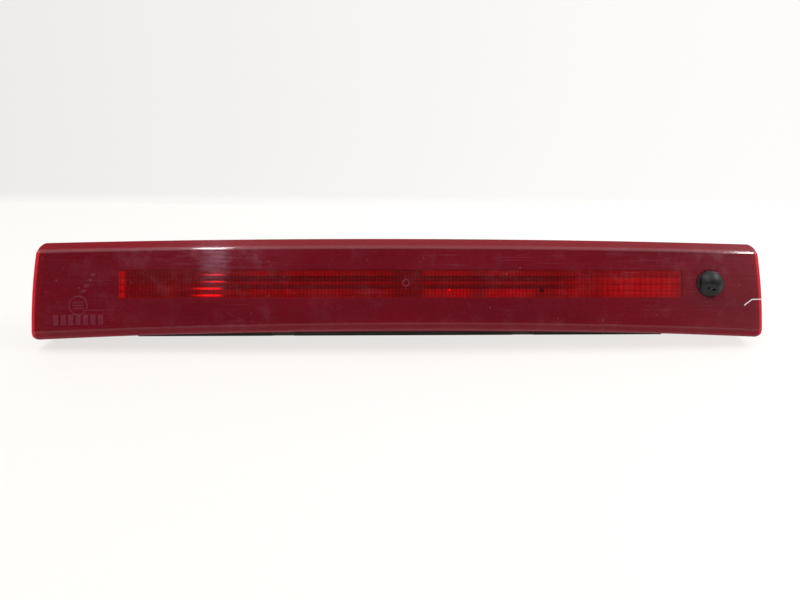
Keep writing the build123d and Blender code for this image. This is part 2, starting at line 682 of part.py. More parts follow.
def breather_cap():
    """Cup over the breather stub, open to the air through four notches."""
    inner_floor = PLATE_REAR + 1.3
    cap = rod_y(4.4, PLATE_REAR + 0.1, inner_floor + 1.0, BREATHER_X)
    cap = fillet(cap.edges().sort_by(Axis.Y)[-1], 0.6)
    cap -= rod_y(3.6, PLATE_REAR - 1, inner_floor, BREATHER_X)
    for width, height in ((12.0, 1.4), (1.4, 12.0)):
        x0, x1 = BREATHER_X - width / 2, BREATHER_X + width / 2
        cap -= block(x0, x1, PLATE_REAR - 1, PLATE_REAR + 0.7, -height / 2, height / 2)
    return cap


# ---- push-in clips -----------------------------------------------------------------------------------
def clip_saddles():
    """Steel saddles folded over the noses of the tower tongues."""
    group = []
    gap = TOWER_THICK / 2 + 0.05
    outer = gap + CLIP_STEEL
    half = TOWER_WIDTH / 2 - 0.4
    for x in TOWER_PLACES:
        nose = TOWER_TIP + 0.05
        saddle = block(x - half, x + half, 2.4, nose + CLIP_STEEL, TOWER_Z - outer, TOWER_Z + outer)
        saddle = fillet(saddle.edges().filter_by(Axis.X).group_by(Axis.Y)[-1], 0.4)
        saddle -= block(x - half - 1, x + half + 1, 2, nose, TOWER_Z - gap, TOWER_Z + gap)
        group.append(saddle)
    return Compound(children=group)


def clip_wing(x, side):
    """One sprung wing of a clip; side is +1 for the upper wing and -1 for the lower."""
    line = [(WING_HINGE_Y, WING_HINGE_OFFSET), (5.0, 4.9), (2.4, 4.35)]
    half = CLIP_STEEL / 2
    outer = [(y, offset + half) for y, offset in line]
    inner = [(y, offset - half) for y, offset in reversed(line)]
    points = [(y, TOWER_Z + side * offset) for y, offset in outer + inner]
    width = TOWER_WIDTH / 2 - 0.6
    wing = side_profile(points, x - width, x + width)
    slot = block(x - 0.9, x + 0.9, 6.0, 9.6, TOWER_Z + side * 3.9 - 2.5, TOWER_Z + side * 3.9 + 2.5)
    return wing - slot


# ---- washer jet --------------------------------------------------------------------------------
def jet_head():
    """Domed head with two flats and a facet that faces down the window glass."""
    base = JET_SEAT - JET_SEAL_THICK
    front = base - JET_HEAD_TALL
    dome = JET_HEAD_TALL - JET_HEAD_SKIRT
    radius = (JET_HEAD_RADIUS**2 + dome**2) / (2 * dome)
    head = rod_y(JET_HEAD_RADIUS, front - 1, base, JET_X)
    head &= Pos(JET_X, front + radius, 0) * Sphere(radius)
    head -= block(JET_X - 9, JET_X - JET_FLAT, -40, base, -9, 9)
    bottom_flat = Rot(0, 8, 0) * block(-9, 9, -40, base, -9, -JET_FLAT)
    head -= Pos(JET_X, 0, 0) * bottom_flat
    head -= on_spray(0, Pos(0, 0, 4) * Box(20, 20, 8))
    head = fillet(head.edges().filter_by(lambda edge: edge.center().Y < base - 0.2), 0.25)
    head += rod_y(JET_PLUG_RADIUS, base - 0.5, base + 4.2, JET_X)
    head += ring_y(JET_HEAD_RADIUS - 0.9, 2.5, base - 0.3, JET_SEAT + 0.1, JET_X)
    pocket = CARTRIDGE_LENGTH + 1.15
    head -= on_spray(-1, Pos(0, 0, -pocket / 2) * Cylinder(CARTRIDGE_RADIUS + 0.04, pocket))
    head -= rod_y(0.8, base - 2.2, base + 5, JET_X)
    return head


def jet_cartridge():
    """Turning insert that holds the nozzle ball behind a narrow slot."""
    length = CARTRIDGE_LENGTH
    body = on_spray(0.1, Pos(0, 0, -length / 2) * Cylinder(CARTRIDGE_RADIUS, length))
    seat_radius = NOZZLE_BALL_RADIUS + 0.03
    body -= on_spray(NOZZLE_BALL_DEPTH + 0.1, Sphere(seat_radius))
    tail = length - NOZZLE_BALL_DEPTH + 1
    body -= on_spray(NOZZLE_BALL_DEPTH + 0.1, Pos(0, 0, -tail / 2) * Cylinder(seat_radius, tail))
    body -= on_spray(0.1, Pos(0, 0, -0.4) * Box(3.1, 1.15, 1.6))
    return body


def jet_ball():
    """Nozzle ball with its short spout and the jet bore."""
    centre = NOZZLE_BALL_DEPTH + 0.1
    ball = on_spray(centre, Sphere(NOZZLE_BALL_RADIUS))
    ball += on_spray(centre, Pos(0, 0, 0.75) * Cylinder(0.42, 1.5))
    ball -= on_spray(centre, Cylinder(0.18, 6))
    ball -= on_spray(centre, Pos(0, 0, -NOZZLE_BALL_RADIUS) * Cylinder(0.5, 1.2))
    return ball


def jet_head_seal():
    """Thin rubber washer between the head and its seat in the lens."""
    y0 = JET_SEAT - JET_SEAL_THICK + SOFT_GAP
    return ring_y(JET_HEAD_RADIUS + 0.1, BARREL_RADIUS + 0.1, y0, JET_SEAT - SOFT_GAP, JET_X)


def jet_barrel():
    """Water tube from the head to the hose spigot, with the check-valve chamber inside."""
    barrel = rod_y(BARREL_RADIUS, BARREL_FRONT, BARREL_REAR, JET_X)
    barrel += rod_y(SPIGOT_RADIUS, BARREL_REAR - 1, SPIGOT_REAR, JET_X)
    tip = Pos(JET_X, SPIGOT_REAR - 1.6, 0) * Rot(-90, 0, 0) * Cone(3.1, 2.1, 3.2)
    barrel += tip
    barrel -= rod_y(JET_PLUG_RADIUS + 0.05, BARREL_FRONT - 1, BARREL_FRONT + 3.2, JET_X)
    barrel -= rod_y(WATER_BORE, BARREL_FRONT - 1, SPIGOT_REAR + 1, JET_X)
    barrel -= rod_y(CHAMBER_RADIUS, CHAMBER_FRONT, CHAMBER_REAR, JET_X)
    return barrel


def jet_lock_nut():
    """Six-lobed push nut that holds the barrel to the housing."""
    y0, y1 = PLATE_REAR + 0.02, PLATE_REAR + LOCK_NUT_THICK
    nut = ring_y(LOCK_NUT_RADIUS, BARREL_RADIUS + 0.03, y0, y1, JET_X)
    for index in range(6):
        angle = math.radians(60 * index)
        notch_x = JET_X + (LOCK_NUT_RADIUS + 0.6) * math.cos(angle)
        nut -= rod_y(1.5, y0 - 1, y1 + 1, notch_x, (LOCK_NUT_RADIUS + 0.6) * math.sin(angle))
    return nut


def valve_seat():
    """Seat ring at the inlet side of the chamber, with a conical face for the ball."""
    y0, y1 = VALVE_SEAT_FRONT, CHAMBER_REAR - VALVE_FIT
    seat = ring_y(CHAMBER_RADIUS - VALVE_FIT, 0.8, y0, y1, JET_X)
    ball_space = Pos(JET_X, CHECK_BALL_Y, 0) * Sphere(CHECK_BALL_RADIUS + VALVE_FIT)
    return seat - ball_space


def valve_ball():
    """Steel ball that closes the inlet side until water pushes it forward."""
    return Pos(JET_X, CHECK_BALL_Y, 0) * Sphere(CHECK_BALL_RADIUS)


def valve_spring_stop():
    """Ring that the valve spring rests on."""
    y0, y1 = CHAMBER_FRONT + VALVE_FIT, CHAMBER_FRONT + VALVE_STOP_THICK
    return ring_y(CHAMBER_RADIUS - VALVE_FIT, 0.9, y0, y1, JET_X)


def valve_spring():
    """Closed helix between the stop and the ball."""
    y0, y1 = CHAMBER_FRONT + VALVE_STOP_THICK + 0.25, CHECK_BALL_Y - 0.95
    path = Helix(pitch=(y1 - y0) / SPRING_TURNS, height=y1 - y0, radius=SPRING_RADIUS)
    profile = Plane(origin=path @ 0, z_dir=path % 0) * Circle(SPRING_WIRE)
    coil = sweep(profile, path=path, is_frenet=True)
    return Pos(JET_X, y0, 0) * Rot(-90, 0, 0) * coil


PARTS = {
    "outer_lens": outer_lens,
    "bezel_mask": bezel_mask,
    "optic_plate": optic_plate,
    "reflector": reflector,
    "circuit_board": circuit_board,
    "led_packages": led_packages,
    "led_leads": led_leads,
    "series_resistors": series_resistors,
    "protection_diode": protection_diode,
    "suppressor_capacitor": suppressor_capacitor,
    "connector_terminals": connector_terminals,
    "connector_header": connector_header,
    "connector_seal": connector_seal,
    "board_screws": board_screws,
    "rear_housing": rear_housing,
    "lens_sealant": lens_sealant,
    "body_gasket": body_gasket,
    "breather_membrane": breather_membrane,
    "breather_cap": breather_cap,
    "clip_saddles": clip_saddles,
    "left_upper_wing": lambda: clip_wing(TOWER_PLACES[0], 1),
    "left_lower_wing": lambda: clip_wing(TOWER_PLACES[0], -1),
    "right_upper_wing": lambda: clip_wing(TOWER_PLACES[1], 1),
    "right_lower_wing": lambda: clip_wing(TOWER_PLACES[1], -1),
    "jet_head": jet_head,
    "jet_cartridge": jet_cartridge,
    "jet_ball": jet_ball,
    "jet_head_seal": jet_head_seal,
    "jet_barrel": jet_barrel,
    "jet_lock_nut": jet_lock_nut,
    "valve_seat": valve_seat,
    "valve_ball": valve_ball,
    "valve_spring_stop": valve_spring_stop,
    "valve_spring": valve_spring,
}

os.makedirs("parts", exist_ok=True)
for name, make in PARTS.items():
    export_step(make(), f"parts/{name}.step")
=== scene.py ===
import json
import math
import random

import bmesh
import bpy
from mathutils import Matrix, Vector, noise


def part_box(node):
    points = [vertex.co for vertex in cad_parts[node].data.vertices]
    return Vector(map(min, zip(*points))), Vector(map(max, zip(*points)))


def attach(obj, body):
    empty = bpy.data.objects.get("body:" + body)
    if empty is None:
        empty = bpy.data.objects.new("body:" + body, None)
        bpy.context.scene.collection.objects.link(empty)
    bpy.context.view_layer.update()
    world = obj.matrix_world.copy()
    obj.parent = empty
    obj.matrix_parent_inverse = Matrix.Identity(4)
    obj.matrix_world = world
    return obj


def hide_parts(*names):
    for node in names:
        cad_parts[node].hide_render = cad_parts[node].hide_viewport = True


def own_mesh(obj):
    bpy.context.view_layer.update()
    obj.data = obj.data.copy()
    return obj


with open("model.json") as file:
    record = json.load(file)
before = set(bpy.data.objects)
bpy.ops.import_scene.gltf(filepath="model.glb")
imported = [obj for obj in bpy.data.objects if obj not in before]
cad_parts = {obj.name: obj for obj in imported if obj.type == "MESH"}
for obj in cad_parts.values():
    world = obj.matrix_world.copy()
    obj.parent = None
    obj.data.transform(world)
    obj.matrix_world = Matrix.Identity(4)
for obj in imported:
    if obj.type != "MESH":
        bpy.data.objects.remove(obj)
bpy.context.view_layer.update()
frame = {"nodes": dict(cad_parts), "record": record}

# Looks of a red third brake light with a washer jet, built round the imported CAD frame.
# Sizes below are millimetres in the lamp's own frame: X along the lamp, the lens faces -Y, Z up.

MM = 0.001
LAMP = "lamp_body"


def node_box(node):
    """Lowest and highest corner of a CAD node, in millimetres."""
    low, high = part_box(node)
    return low / MM, high / MM


# ---- sizes taken from the frame ------------------------------------------------------
lens_low, lens_high = node_box("outer_lens")
optic_low, optic_high = node_box("optic_plate")
gasket_low, gasket_high = node_box("body_gasket")
sealant_low, sealant_high = node_box("lens_sealant")
header_seal_low, header_seal_high = node_box("connector_seal")
jet_seal_low, jet_seal_high = node_box("jet_head_seal")
barrel_low, barrel_high = node_box("jet_barrel")
membrane_low, membrane_high = node_box("breather_membrane")
valve_low, valve_high = node_box("valve_seat")
spring_low, spring_high = node_box("valve_spring")
housing_low, _ = node_box("rear_housing")

HALF = lens_high.x
FRONT = lens_low.y
REAR = lens_high.y
JET_X = (barrel_low.x + barrel_high.x) / 2

# ---- driving sizes of the lens -------------------------------------------------------
PLAN_SAG = 5.5
ARCH_RISE = 2.2
ROOF_DRAFT = 0.25
FLOOR_DRAFT = 0.35
TOP = lens_high.z - ROOF_DRAFT
BOTTOM = lens_low.z + FLOOR_DRAFT + 0.92 * ARCH_RISE
LENS_WALL = 2.5
CROWN = 0.4
BEVEL_HEIGHT = 4.1
BEVEL_DEPTH = 3.6
SHOULDER_RADIUS = 0.35
CREASE_RADIUS = 2.0
LOWER_ROUND = 4.0
TOP_CORNER = 2.8
END_LIFT = 0.6           # the top edge falls this much less towards the ends
END_DROP = 1.5           # the bottom edge falls this much more towards the ends
MIDDLE_LIFT = 0.75       # and stands this much higher in the middle
BOTTOM_CORNER = 1.9
END_LEAN = 0.0015        # the ends lean inwards by this times the height squared
OUTER_EASE = 0.9         # rounding between the face and the ends
INNER_EASE = 0.3
CURVED_DEPTH = 5.5       # the full curve reaches this far behind the front; the rear rim is flat
PLAN_RADIUS = (HALF**2 + PLAN_SAG**2) / (2 * PLAN_SAG)

# ---- window and optic ----------------------------------------------------------------
WINDOW_HALF_HEIGHT = 5.85
ROW_COUNT = 4
PILLOW_DEPTH = 0.35
FINE_PITCH = 1.5
COARSE_PITCH = 2.4
COARSE_FROM = 80.0       # pillows are wider from here to the right end

# ---- check valve ---------------------------------------------------------------------
SPRING_WIRE = 0.17       # radius of the spring's wire
SPRING_TURNS = 4

# ---- moulded marks -------------------------------------------------------------------
MARK_RISE = 0.12
MARK_RING = (-135.0, -8.7)
MARK_BARS_FROM = -145.4
MARK_BAR_PITCH = 3.1
MARK_BAR_SIZE = (2.1, 4.2)
MARK_BARS_LOW = -16.6
MARK_DASHES = ((-133.9, -3.6), (-132.6, -1.4), (-131.3, 0.8), (-130.0, 3.0))
MARK_DASH_SIZE = (1.9, 1.3)


# ---- shapes --------------------------------------------------------------------------
def arch_drop(x):
    """How far the arched edges fall at a distance x from the middle."""
    return ARCH_RISE * (x / HALF) ** 2


def plan_back(x):
    """How far the curved front falls back at a distance x from the middle."""
    return PLAN_RADIUS - math.sqrt(PLAN_RADIUS**2 - x**2)


def on_lamp(x, y, z):
    """A point given in the straight section frame, moved onto the curved and arched lamp."""
    return Vector((x, y + plan_back(x), z - arch_drop(x))) * MM


def on_lens(x, y, z):
    """A point of the lens, whose rear rim is flat while its front follows the lamp's curve.

    Towards the front its top edge is flatter and its bottom edge more arched than the lamp.
    """
    share = (x / HALF) ** 2
    level = (z - BOTTOM) / (TOP - BOTTOM)
    lift = level * END_LIFT * share + (1 - level) * (MIDDLE_LIFT - END_DROP * share)
    curved = min(1.0, (REAR - y) / (REAR - FRONT - CURVED_DEPTH))
    return on_lamp(x, y - plan_back(x) * (1 - curved), z + lift * min(1.0, (REAR - y) / 10.0))


def spread(start, end, count):
    """count + 1 evenly spaced numbers."""
    return [start + (end - start) * index / count for index in range(count + 1)]


def around(count):
    """Evenly spaced angles round a full circle."""
    return spread(0, 2 * math.pi, count)[:-1]


def end_x(z, inset):
    """Half length of the outline at section height z, moved inwards by inset."""
    straight = HALF - END_LEAN * (z - BOTTOM) ** 2 - inset
    top_round = max(TOP_CORNER - inset, 0.8)
    low_round = max(BOTTOM_CORNER - inset, 0.8)
    above = z - (TOP + ROOF_DRAFT - inset - top_round)
    below = (BOTTOM - FLOOR_DRAFT + inset + low_round) - z
    if above > 0:
        straight -= top_round - math.sqrt(max(top_round**2 - above**2, 0))
    if below > 0:
        straight -= low_round - math.sqrt(max(low_round**2 - below**2, 0))
    return straight


def rounded_corner(before, corner, after, radius, count):
    """Points along the round that replaces a corner between two straight lines."""
    to_before = (before - corner).normalized()
    to_after = (after - corner).normalized()
    half_angle = math.acos(max(-1.0, min(1.0, to_before.dot(to_after)))) / 2
    centre = corner + (to_before + to_after).normalized() * radius / math.sin(half_angle)
    start = corner + to_before * radius / math.tan(half_angle) - centre
    end = corner + to_after * radius / math.tan(half_angle) - centre
    first = math.atan2(start.y, start.x)
    turn = math.atan2(end.y, end.x) - first
    turn = (turn + math.pi) % (2 * math.pi) - math.pi
    angles = spread(first, first + turn, count)
    return [centre + Vector((math.cos(a), math.sin(a))) * radius for a in angles]


def lens_section(inset):
    """Roof, front and floor of the lens section as (y, z) points, moved inwards by inset."""
    slope = math.hypot(BEVEL_DEPTH, BEVEL_HEIGHT)
    edge = FRONT + CROWN + inset
    roof_rear = Vector((REAR, TOP + ROOF_DRAFT - inset))
    shoulder_y = FRONT + CROWN + BEVEL_DEPTH + inset * (slope - BEVEL_DEPTH) / BEVEL_HEIGHT
    shoulder = Vector((shoulder_y, TOP - inset))
    crease_drop = BEVEL_HEIGHT + inset * (slope - BEVEL_HEIGHT) / BEVEL_DEPTH
    crease = Vector((edge, TOP - crease_drop))
    lower = Vector((edge, BOTTOM + inset))
    floor_rear = Vector((REAR, BOTTOM + inset - FLOOR_DRAFT))
    front = rounded_corner(roof_rear, shoulder, crease, SHOULDER_RADIUS, 4)
    bevel = rounded_corner(shoulder, crease, lower, max(CREASE_RADIUS - inset, 0.2), 10)
    front += [front[-1].lerp(bevel[0], share) for share in spread(0, 1, 8)[1:-1]]
    low_round = rounded_corner(crease, lower, floor_rear, max(LOWER_ROUND - inset, 1.0), 14)
    face = [bevel[-1].lerp(low_round[0], share) for share in spread(0, 1, 44)[1:-1]]
    middle = (bevel[-1].y + low_round[0].y) / 2
    reach = (bevel[-1].y - low_round[0].y) / 2
    for point in face:
        point.x -= CROWN * (1 - ((point.y - middle) / reach) ** 2)
    front += bevel + face + low_round
    roof = [roof_rear.lerp(front[0], share) for share in spread(0, 1, 8)]
    floor = [front[-1].lerp(floor_rear, share) for share in spread(0, 1, 8)]
    return roof, front, floor


def face_point(x, z, rise):
    """A point on the lens face, standing proud by rise; z is the true height."""
    section_z = z + arch_drop(x)
    middle = (TOP - BEVEL_HEIGHT + BOTTOM + LOWER_ROUND) / 2
    reach = (TOP - BEVEL_HEIGHT - BOTTOM - LOWER_ROUND) / 2
    crown = CROWN * (1 - ((section_z - middle) / reach) ** 2)
    return on_lens(x, FRONT + CROWN - crown - rise, section_z)


def outline(inset, steps):
    """Points round the lamp's outline, moved inwards by inset, as (x, section z)."""
    top, low = TOP + ROOF_DRAFT - inset, BOTTOM - FLOOR_DRAFT + inset
    top_round = max(TOP_CORNER - inset, 0.8)
    low_round = max(BOTTOM_CORNER - inset, 0.8)
    heights = [top - top_round * (1 - math.cos(a)) for a in spread(0, math.pi / 2, 8)]
    heights += spread(top - top_round, low + low_round, 24)[1:-1]
    heights += [low + low_round * (1 - math.sin(a)) for a in spread(0, math.pi / 2, 6)]
    right = [(end_x(z, inset), z) for z in heights]
    left = [(-x, z) for x, z in reversed(right)]
    top_edge = [(x, top) for x in spread(-right[0][0], right[0][0], steps)[1:-1]]
    low_edge = [(x, low) for x in spread(right[-1][0], -right[-1][0], steps)[1:-1]]
    return top_edge + right + low_edge + left


# ---- mesh helpers --------------------------------------------------------------------
def add_grid(mesh, rows, close_rows=False, close_columns=False):
    """Adds a grid of quads through rows of points."""
    made = [[mesh.verts.new(point) for point in row] for row in rows]
    if close_rows:
        made.append(made[0])
    for upper, lower in zip(made, made[1:]):
        if close_columns:
            upper = upper + upper[:1]
            lower = lower + lower[:1]
        for index in range(len(upper) - 1):
            mesh.faces.new((upper[index], upper[index + 1], lower[index + 1], lower[index]))


def add_slab(mesh, front, back):
    """Adds a closed slab between two matching grids of points."""
    add_grid(mesh, front)
    add_grid(mesh, back)
    add_grid(mesh, [front[0], back[0]])
    add_grid(mesh, [front[-1], back[-1]])
    add_grid(mesh, [[row[0] for row in front], [row[0] for row in back]])
    add_grid(mesh, [[row[-1] for row in front], [row[-1] for row in back]])


def make_piece(name, mesh, material, sharp_degrees=35):
    """Closes the seams of a mesh, turns its faces outwards and makes an object of it."""
    bmesh.ops.remove_doubles(mesh, verts=mesh.verts, dist=2e-7)
    bmesh.ops.dissolve_degenerate(mesh, edges=mesh.edges, dist=1e-7)
    bmesh.ops.recalc_face_normals(mesh, faces=mesh.faces)
    data = bpy.data.meshes.new(name)
    mesh.to_mesh(data)
    mesh.free()
    data.shade_smooth()
    data.set_sharp_from_angle(angle=math.radians(sharp_degrees))
    data.materials.append(material)
    piece = bpy.data.objects.new(name, data)
    bpy.context.scene.collection.objects.link(piece)
    return piece


def place(piece, slot, *nodes):
    """Fastens a piece to the lamp, in place of CAD nodes where some are named."""
    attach(piece, LAMP)
    if nodes:
        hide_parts(*nodes)


def circle_row(radius, y, centre_x, centre_z, count=72):
    """Points round a circle across the Y axis."""
    return [
        Vector((centre_x + radius * math.cos(a), y, centre_z + radius * math.sin(a))) * MM
        for a in around(count)
    ]


def rounded_section(a0, a1, b0, b1, radius, count=4):
    """A closed rounded rectangle in two coordinates."""
    corners = [Vector((a0, b0)), Vector((a1, b0)), Vector((a1, b1)), Vector((a0, b1))]
    points = []
    for index, corner in enumerate(corners):
        before, after = corners[index - 1], corners[(index + 1) % 4]
        points += rounded_corner(before, corner, after, radius, count)
    return points


def rough(point, size, depth, seed=0.0):
    """Smooth random offset of a point; size is the length of one lump, depth its height."""
    return noise.noise(point / (size * MM) + Vector((seed, 0, 0))) * depth


def ring_piece(name, section, loop_at, material):
    """A ring whose closed section (offset, y) runs round the loops that loop_at gives."""
    mesh = bmesh.new()
    add_grid(mesh, [loop_at(offset, y) for offset, y in section], True, True)
    return make_piece(name, mesh, material)


def lathe_piece(name, profile, centre_x, centre_z, material):
    """A turned part from a closed profile of (radius, y) points."""
    mesh = bmesh.new()
    rows = [circle_row(max(radius, 0.0), y, centre_x, centre_z) for radius, y in profile]
    add_grid(mesh, rows, True, True)
    return make_piece(name, mesh, material)


# ---- shader helpers ------------------------------------------------------------------
class Value:
    """A number or vector inside a node material; arithmetic with it adds Math nodes."""

    def __init__(self, shader, socket):
        self.shader = shader
        self.socket = socket

    def __add__(self, other):
        return self.shader.math("ADD", self, other)

    def __sub__(self, other):
        return self.shader.math("SUBTRACT", self, other)

    def __rsub__(self, other):
        return self.shader.math("SUBTRACT", other, self)

    def __mul__(self, other):
        return self.shader.math("MULTIPLY", self, other)

    def __truediv__(self, other):
        return self.shader.math("DIVIDE", self, other)

    def __pow__(self, other):
        return self.shader.math("POWER", self, other)

    def __abs__(self):
        return self.shader.math("ABSOLUTE", self)

    def larger(self, other):
        return self.shader.math("MAXIMUM", self, other)

    def step(self, low, high):
        """0 below low, 1 above high, smooth between them; low may be the larger."""
        inputs = {"Value": self, "From Min": min(low, high), "From Max": max(low, high)}
        inputs["To Min"], inputs["To Max"] = (1.0, 0.0) if low > high else (0.0, 1.0)
        return self.shader.read("MapRange", "Result", inputs, interpolation_type="SMOOTHSTEP")

    def between(self, low, high, soft):
        """1 between low and high, falling to 0 over soft on both sides."""
        return self.step(low - soft, low) * self.step(high + soft, high)

    def scaled(self, low, high):
        """Maps 0..1 to low..high."""
        return self.shader.read("MapRange", 0, {"Value": self, "To Min": low, "To Max": high})


class Shader:
    """A node material that is written as a chain of short calls."""

    def __init__(self, name, tree=None):
        if tree is None:
            self.material = bpy.data.materials.new(name)
            self.material.use_nodes = True
            tree = self.material.node_tree
        self.tree = tree
        tree.nodes.clear()
        self.place = self.read("TexCoord", "Object")

    def fill(self, socket, value):
        """Links a socket to a Value or sets it to a constant."""
        if isinstance(value, Value):
            self.tree.links.new(value.socket, socket)
        else:
            socket.default_value = value

    def add(self, kind, inputs=None, **settings):
        """Adds a node, sets its properties and fills or links its inputs."""
        made = self.tree.nodes.new("ShaderNode" + kind)
        for key, value in settings.items():
            setattr(made, key, value)
        for key, value in (inputs or {}).items():
            self.fill(made.inputs[key], value)
        return made

    def read(self, kind, output, inputs=None, **settings):
        """Adds a node and returns one of its outputs."""
        return Value(self, self.add(kind, inputs, **settings).outputs[output])

    def math(self, operation, first, second=0.0, clamp=False):
        return self.read("Math", 0, {0: first, 1: second}, operation=operation, use_clamp=clamp)

    def vector(self, operation, first, second):
        return self.read("VectorMath", "Vector", {0: first, 1: second}, operation=operation)

    def dot(self, first, second):
        return self.read("VectorMath", "Value", {0: first, 1: second}, operation="DOT_PRODUCT")

    def axes(self, vector, unit=1.0):
        """The three parts of a vector, in the given unit."""
        parts = [Value(self, part) for part in self.add("SeparateXYZ", {0: vector}).outputs]
        return parts if unit == 1.0 else [part / unit for part in parts]

    def mix_numbers(self, factor, first, second):
        return self.read("Mix", 0, {0: factor, 2: first, 3: second})

    def mix(self, factor, first, second, blend="MIX"):
        """Mixes two colours."""
        inputs = {0: factor, 6: first, 7: second}
        return self.read("Mix", 2, inputs, data_type="RGBA", blend_type=blend)

    def layered(self, factor, under, over):
        """Mixes two surfaces."""
        return self.read("MixShader", 0, {0: factor, 1: under, 2: over})

    def stretched(self, scale, turn=(0.0, 0.0, 0.0)):
        """The place on the object, stretched and then turned."""
        return self.read("Mapping", 0, {"Vector": self.place, "Scale": scale, "Rotation": turn})

    def noise(self, scale, detail=3.0, roughness=0.5, stretch=None):
        at = self.stretched(stretch) if stretch else self.place
        inputs = {"Vector": at, "Scale": scale, "Detail": detail, "Roughness": roughness}
        return self.read("TexNoise", "Fac", inputs)

    def cells(self, scale):
        """Distance to the nearest of many scattered points."""
        return self.read("TexVoronoi", "Distance", {"Vector": self.place, "Scale": scale})

    def waves(self, scale, distortion=0.0, direction="X"):
        inputs = {"Vector": self.place, "Scale": scale, "Distortion": distortion}
        return self.read("TexWave", "Fac", inputs, bands_direction=direction)

    def grey_ramp(self, factor, stops):
        """Greys given as (place between 0 and 1, brightness)."""
        made = self.add("ValToRGB", {"Fac": factor})
        elements = made.color_ramp.elements
        while len(elements) < len(stops):
            elements.new(0.5)
        for element, (position, brightness) in zip(elements, stops):
            element.position = position
            element.color = grey(brightness)
        return Value(self, made.outputs["Color"])

    def facing(self, direction):
        """How far the surface faces a direction, from -1 to 1."""
        return self.dot(self.read("NewGeometry", "Normal"), direction)

    def bump(self, height, distance):
        inputs = {"Height": height, "Distance": distance * MM, "Strength": 1.0}
        return self.read("Bump", "Normal", inputs)

    def output(self, surface, kind="OutputMaterial"):
        self.add(kind, {"Surface": surface})

    def finished(self, base, roughness, height, depth, **more):
        """Ends the material with one Principled surface and returns it.

        height is the relief and depth its size; more names other inputs of the surface.
        """
        inputs = {"Base Color": base, "Roughness": roughness, "Normal": self.bump(height, depth)}
        inputs.update({name.replace("_", " "): value for name, value in more.items()})
        self.output(self.read("BsdfPrincipled", 0, inputs))
        return self.material


def grey(value):
    return (value, value, value, 1.0)


def tint(colour, factor):
    return tuple(channel * factor for channel in colour[:3]) + (1.0,)


def edge_mask(shader, radius):
    """About 1 on corners and 0 on flats, from how far a rounded normal turns away."""
    rounded = shader.read("Bevel", "Normal", {"Radius": radius * MM}, samples=4)
    turned = 1.0 - shader.facing(rounded)
    return shader.math("MULTIPLY", turned, 6.0, clamp=True)


def finish(name, colour, roughness, metallic=0.0, grain=0.4, depth=0.02, mottle=0.25,
           streak=0.0, dust=0.0, wear=0.0, wear_colour=(0.3, 0.3, 0.3, 1.0), specular=0.5):
    """A moulded, cast or rolled surface with grain, colour variation, dust and worn corners.

    grain is the size of the grain and depth its height, both in millimetres.
    """
    shader = Shader(name)
    fine = shader.noise(1 / (grain * MM), 4.0, 0.6)
    broad = shader.noise(90.0, 4.0, 0.6)
    patch = shader.noise(400.0, 3.0, 0.6)
    variation = (broad * 0.6 + patch * 0.4).step(0.35, 0.65)
    base = shader.mix(variation, tint(colour, 1 - mottle), tint(colour, 1 + mottle))
    height = fine
    if streak:
        lines = shader.noise(160.0, 3.0, stretch=(1.0, 12.0, 30.0))
        base = shader.mix(lines * streak, base, tint(colour, 2.2))
        height = fine + lines * streak
    rough_value = variation.scaled(max(roughness - 0.08, 0.03), min(roughness + 0.1, 1.0))
    if dust:
        facing_up = shader.facing((0.0, 0.0, 1.0)).step(-0.6, 0.9)
        settled = shader.noise(700.0, 6.0, 0.75).step(0.45, 0.75)
        amount = facing_up * settled * dust
        base = shader.mix(amount, base, (0.42, 0.39, 0.36, 1.0))
        rough_value = shader.math("ADD", rough_value, amount * 0.5, clamp=True)
    if wear:
        broken = shader.noise(900.0, 4.0, 0.7).step(0.35, 0.7)
        worn = edge_mask(shader, 0.3) * broken * wear
        base = shader.mix(worn, base, wear_colour)
    return shader.finished(
        base, rough_value, height, depth, Metallic=metallic, Specular_IOR_Level=specular
    )


# ---- lens material -------------------------------------------------------------------
WALL_TINT = (0.82, 0.006, 0.012, 1.0)
FACE_RED = (0.170, 0.0030, 0.0110, 1.0)
# painted reflection: the bottom round is a lighter red, as it faces the bright table
LOW_LIT_RED = (0.215, 0.0040, 0.0130, 1.0)
# painted light: the top bevel is a lighter red, as it faces the light above
BEVEL_LIT_RED = (0.215, 0.009, 0.017, 1.0)
# painted glow: the ends shine red as if lit through the rim, brightest at their front edge
EDGE_GLOW_RED = (0.72, 0.016, 0.030, 1.0)
END_GLOW_RED = (0.26, 0.007, 0.016, 1.0)
# colour of the haze, and of the painted glare
HAZE_AND_GLARE_COLOUR = (0.72, 0.50, 0.66, 1.0)
HAIRLINE = ((146.4, -9.1), (149.8, -6.7), (153.9, -6.6))
GLARE_STREAK_X = -78.5         # painted glare streak on scuffed haze, below the left highlight on the crease
SCRATCH_COUNT = 9
SCRATCH_WIDTH = 0.14
HAIRLINE_WIDTH = 0.30


def line_mask(shader, start, end, width):
    """1 on a straight scratch between two (x, z) points on the face."""
    begin = Vector((start[0], 0, start[1])) * MM
    along = Vector((end[0] - start[0], 0, end[1] - start[1])) * MM
    flat = shader.vector("MULTIPLY", shader.place, (1.0, 0.0, 1.0))
    offset = shader.vector("SUBTRACT", flat, begin)
    share = shader.math("DIVIDE", shader.dot(offset, along), along.length_squared, clamp=True)
    nearest = shader.read("VectorMath", 0, {0: along, "Scale": share}, operation="SCALE")
    away = shader.vector("SUBTRACT", offset, nearest)
    distance = shader.read("VectorMath", "Value", {0: away}, operation="LENGTH")
    return distance.step(width * MM, width * 0.45 * MM)


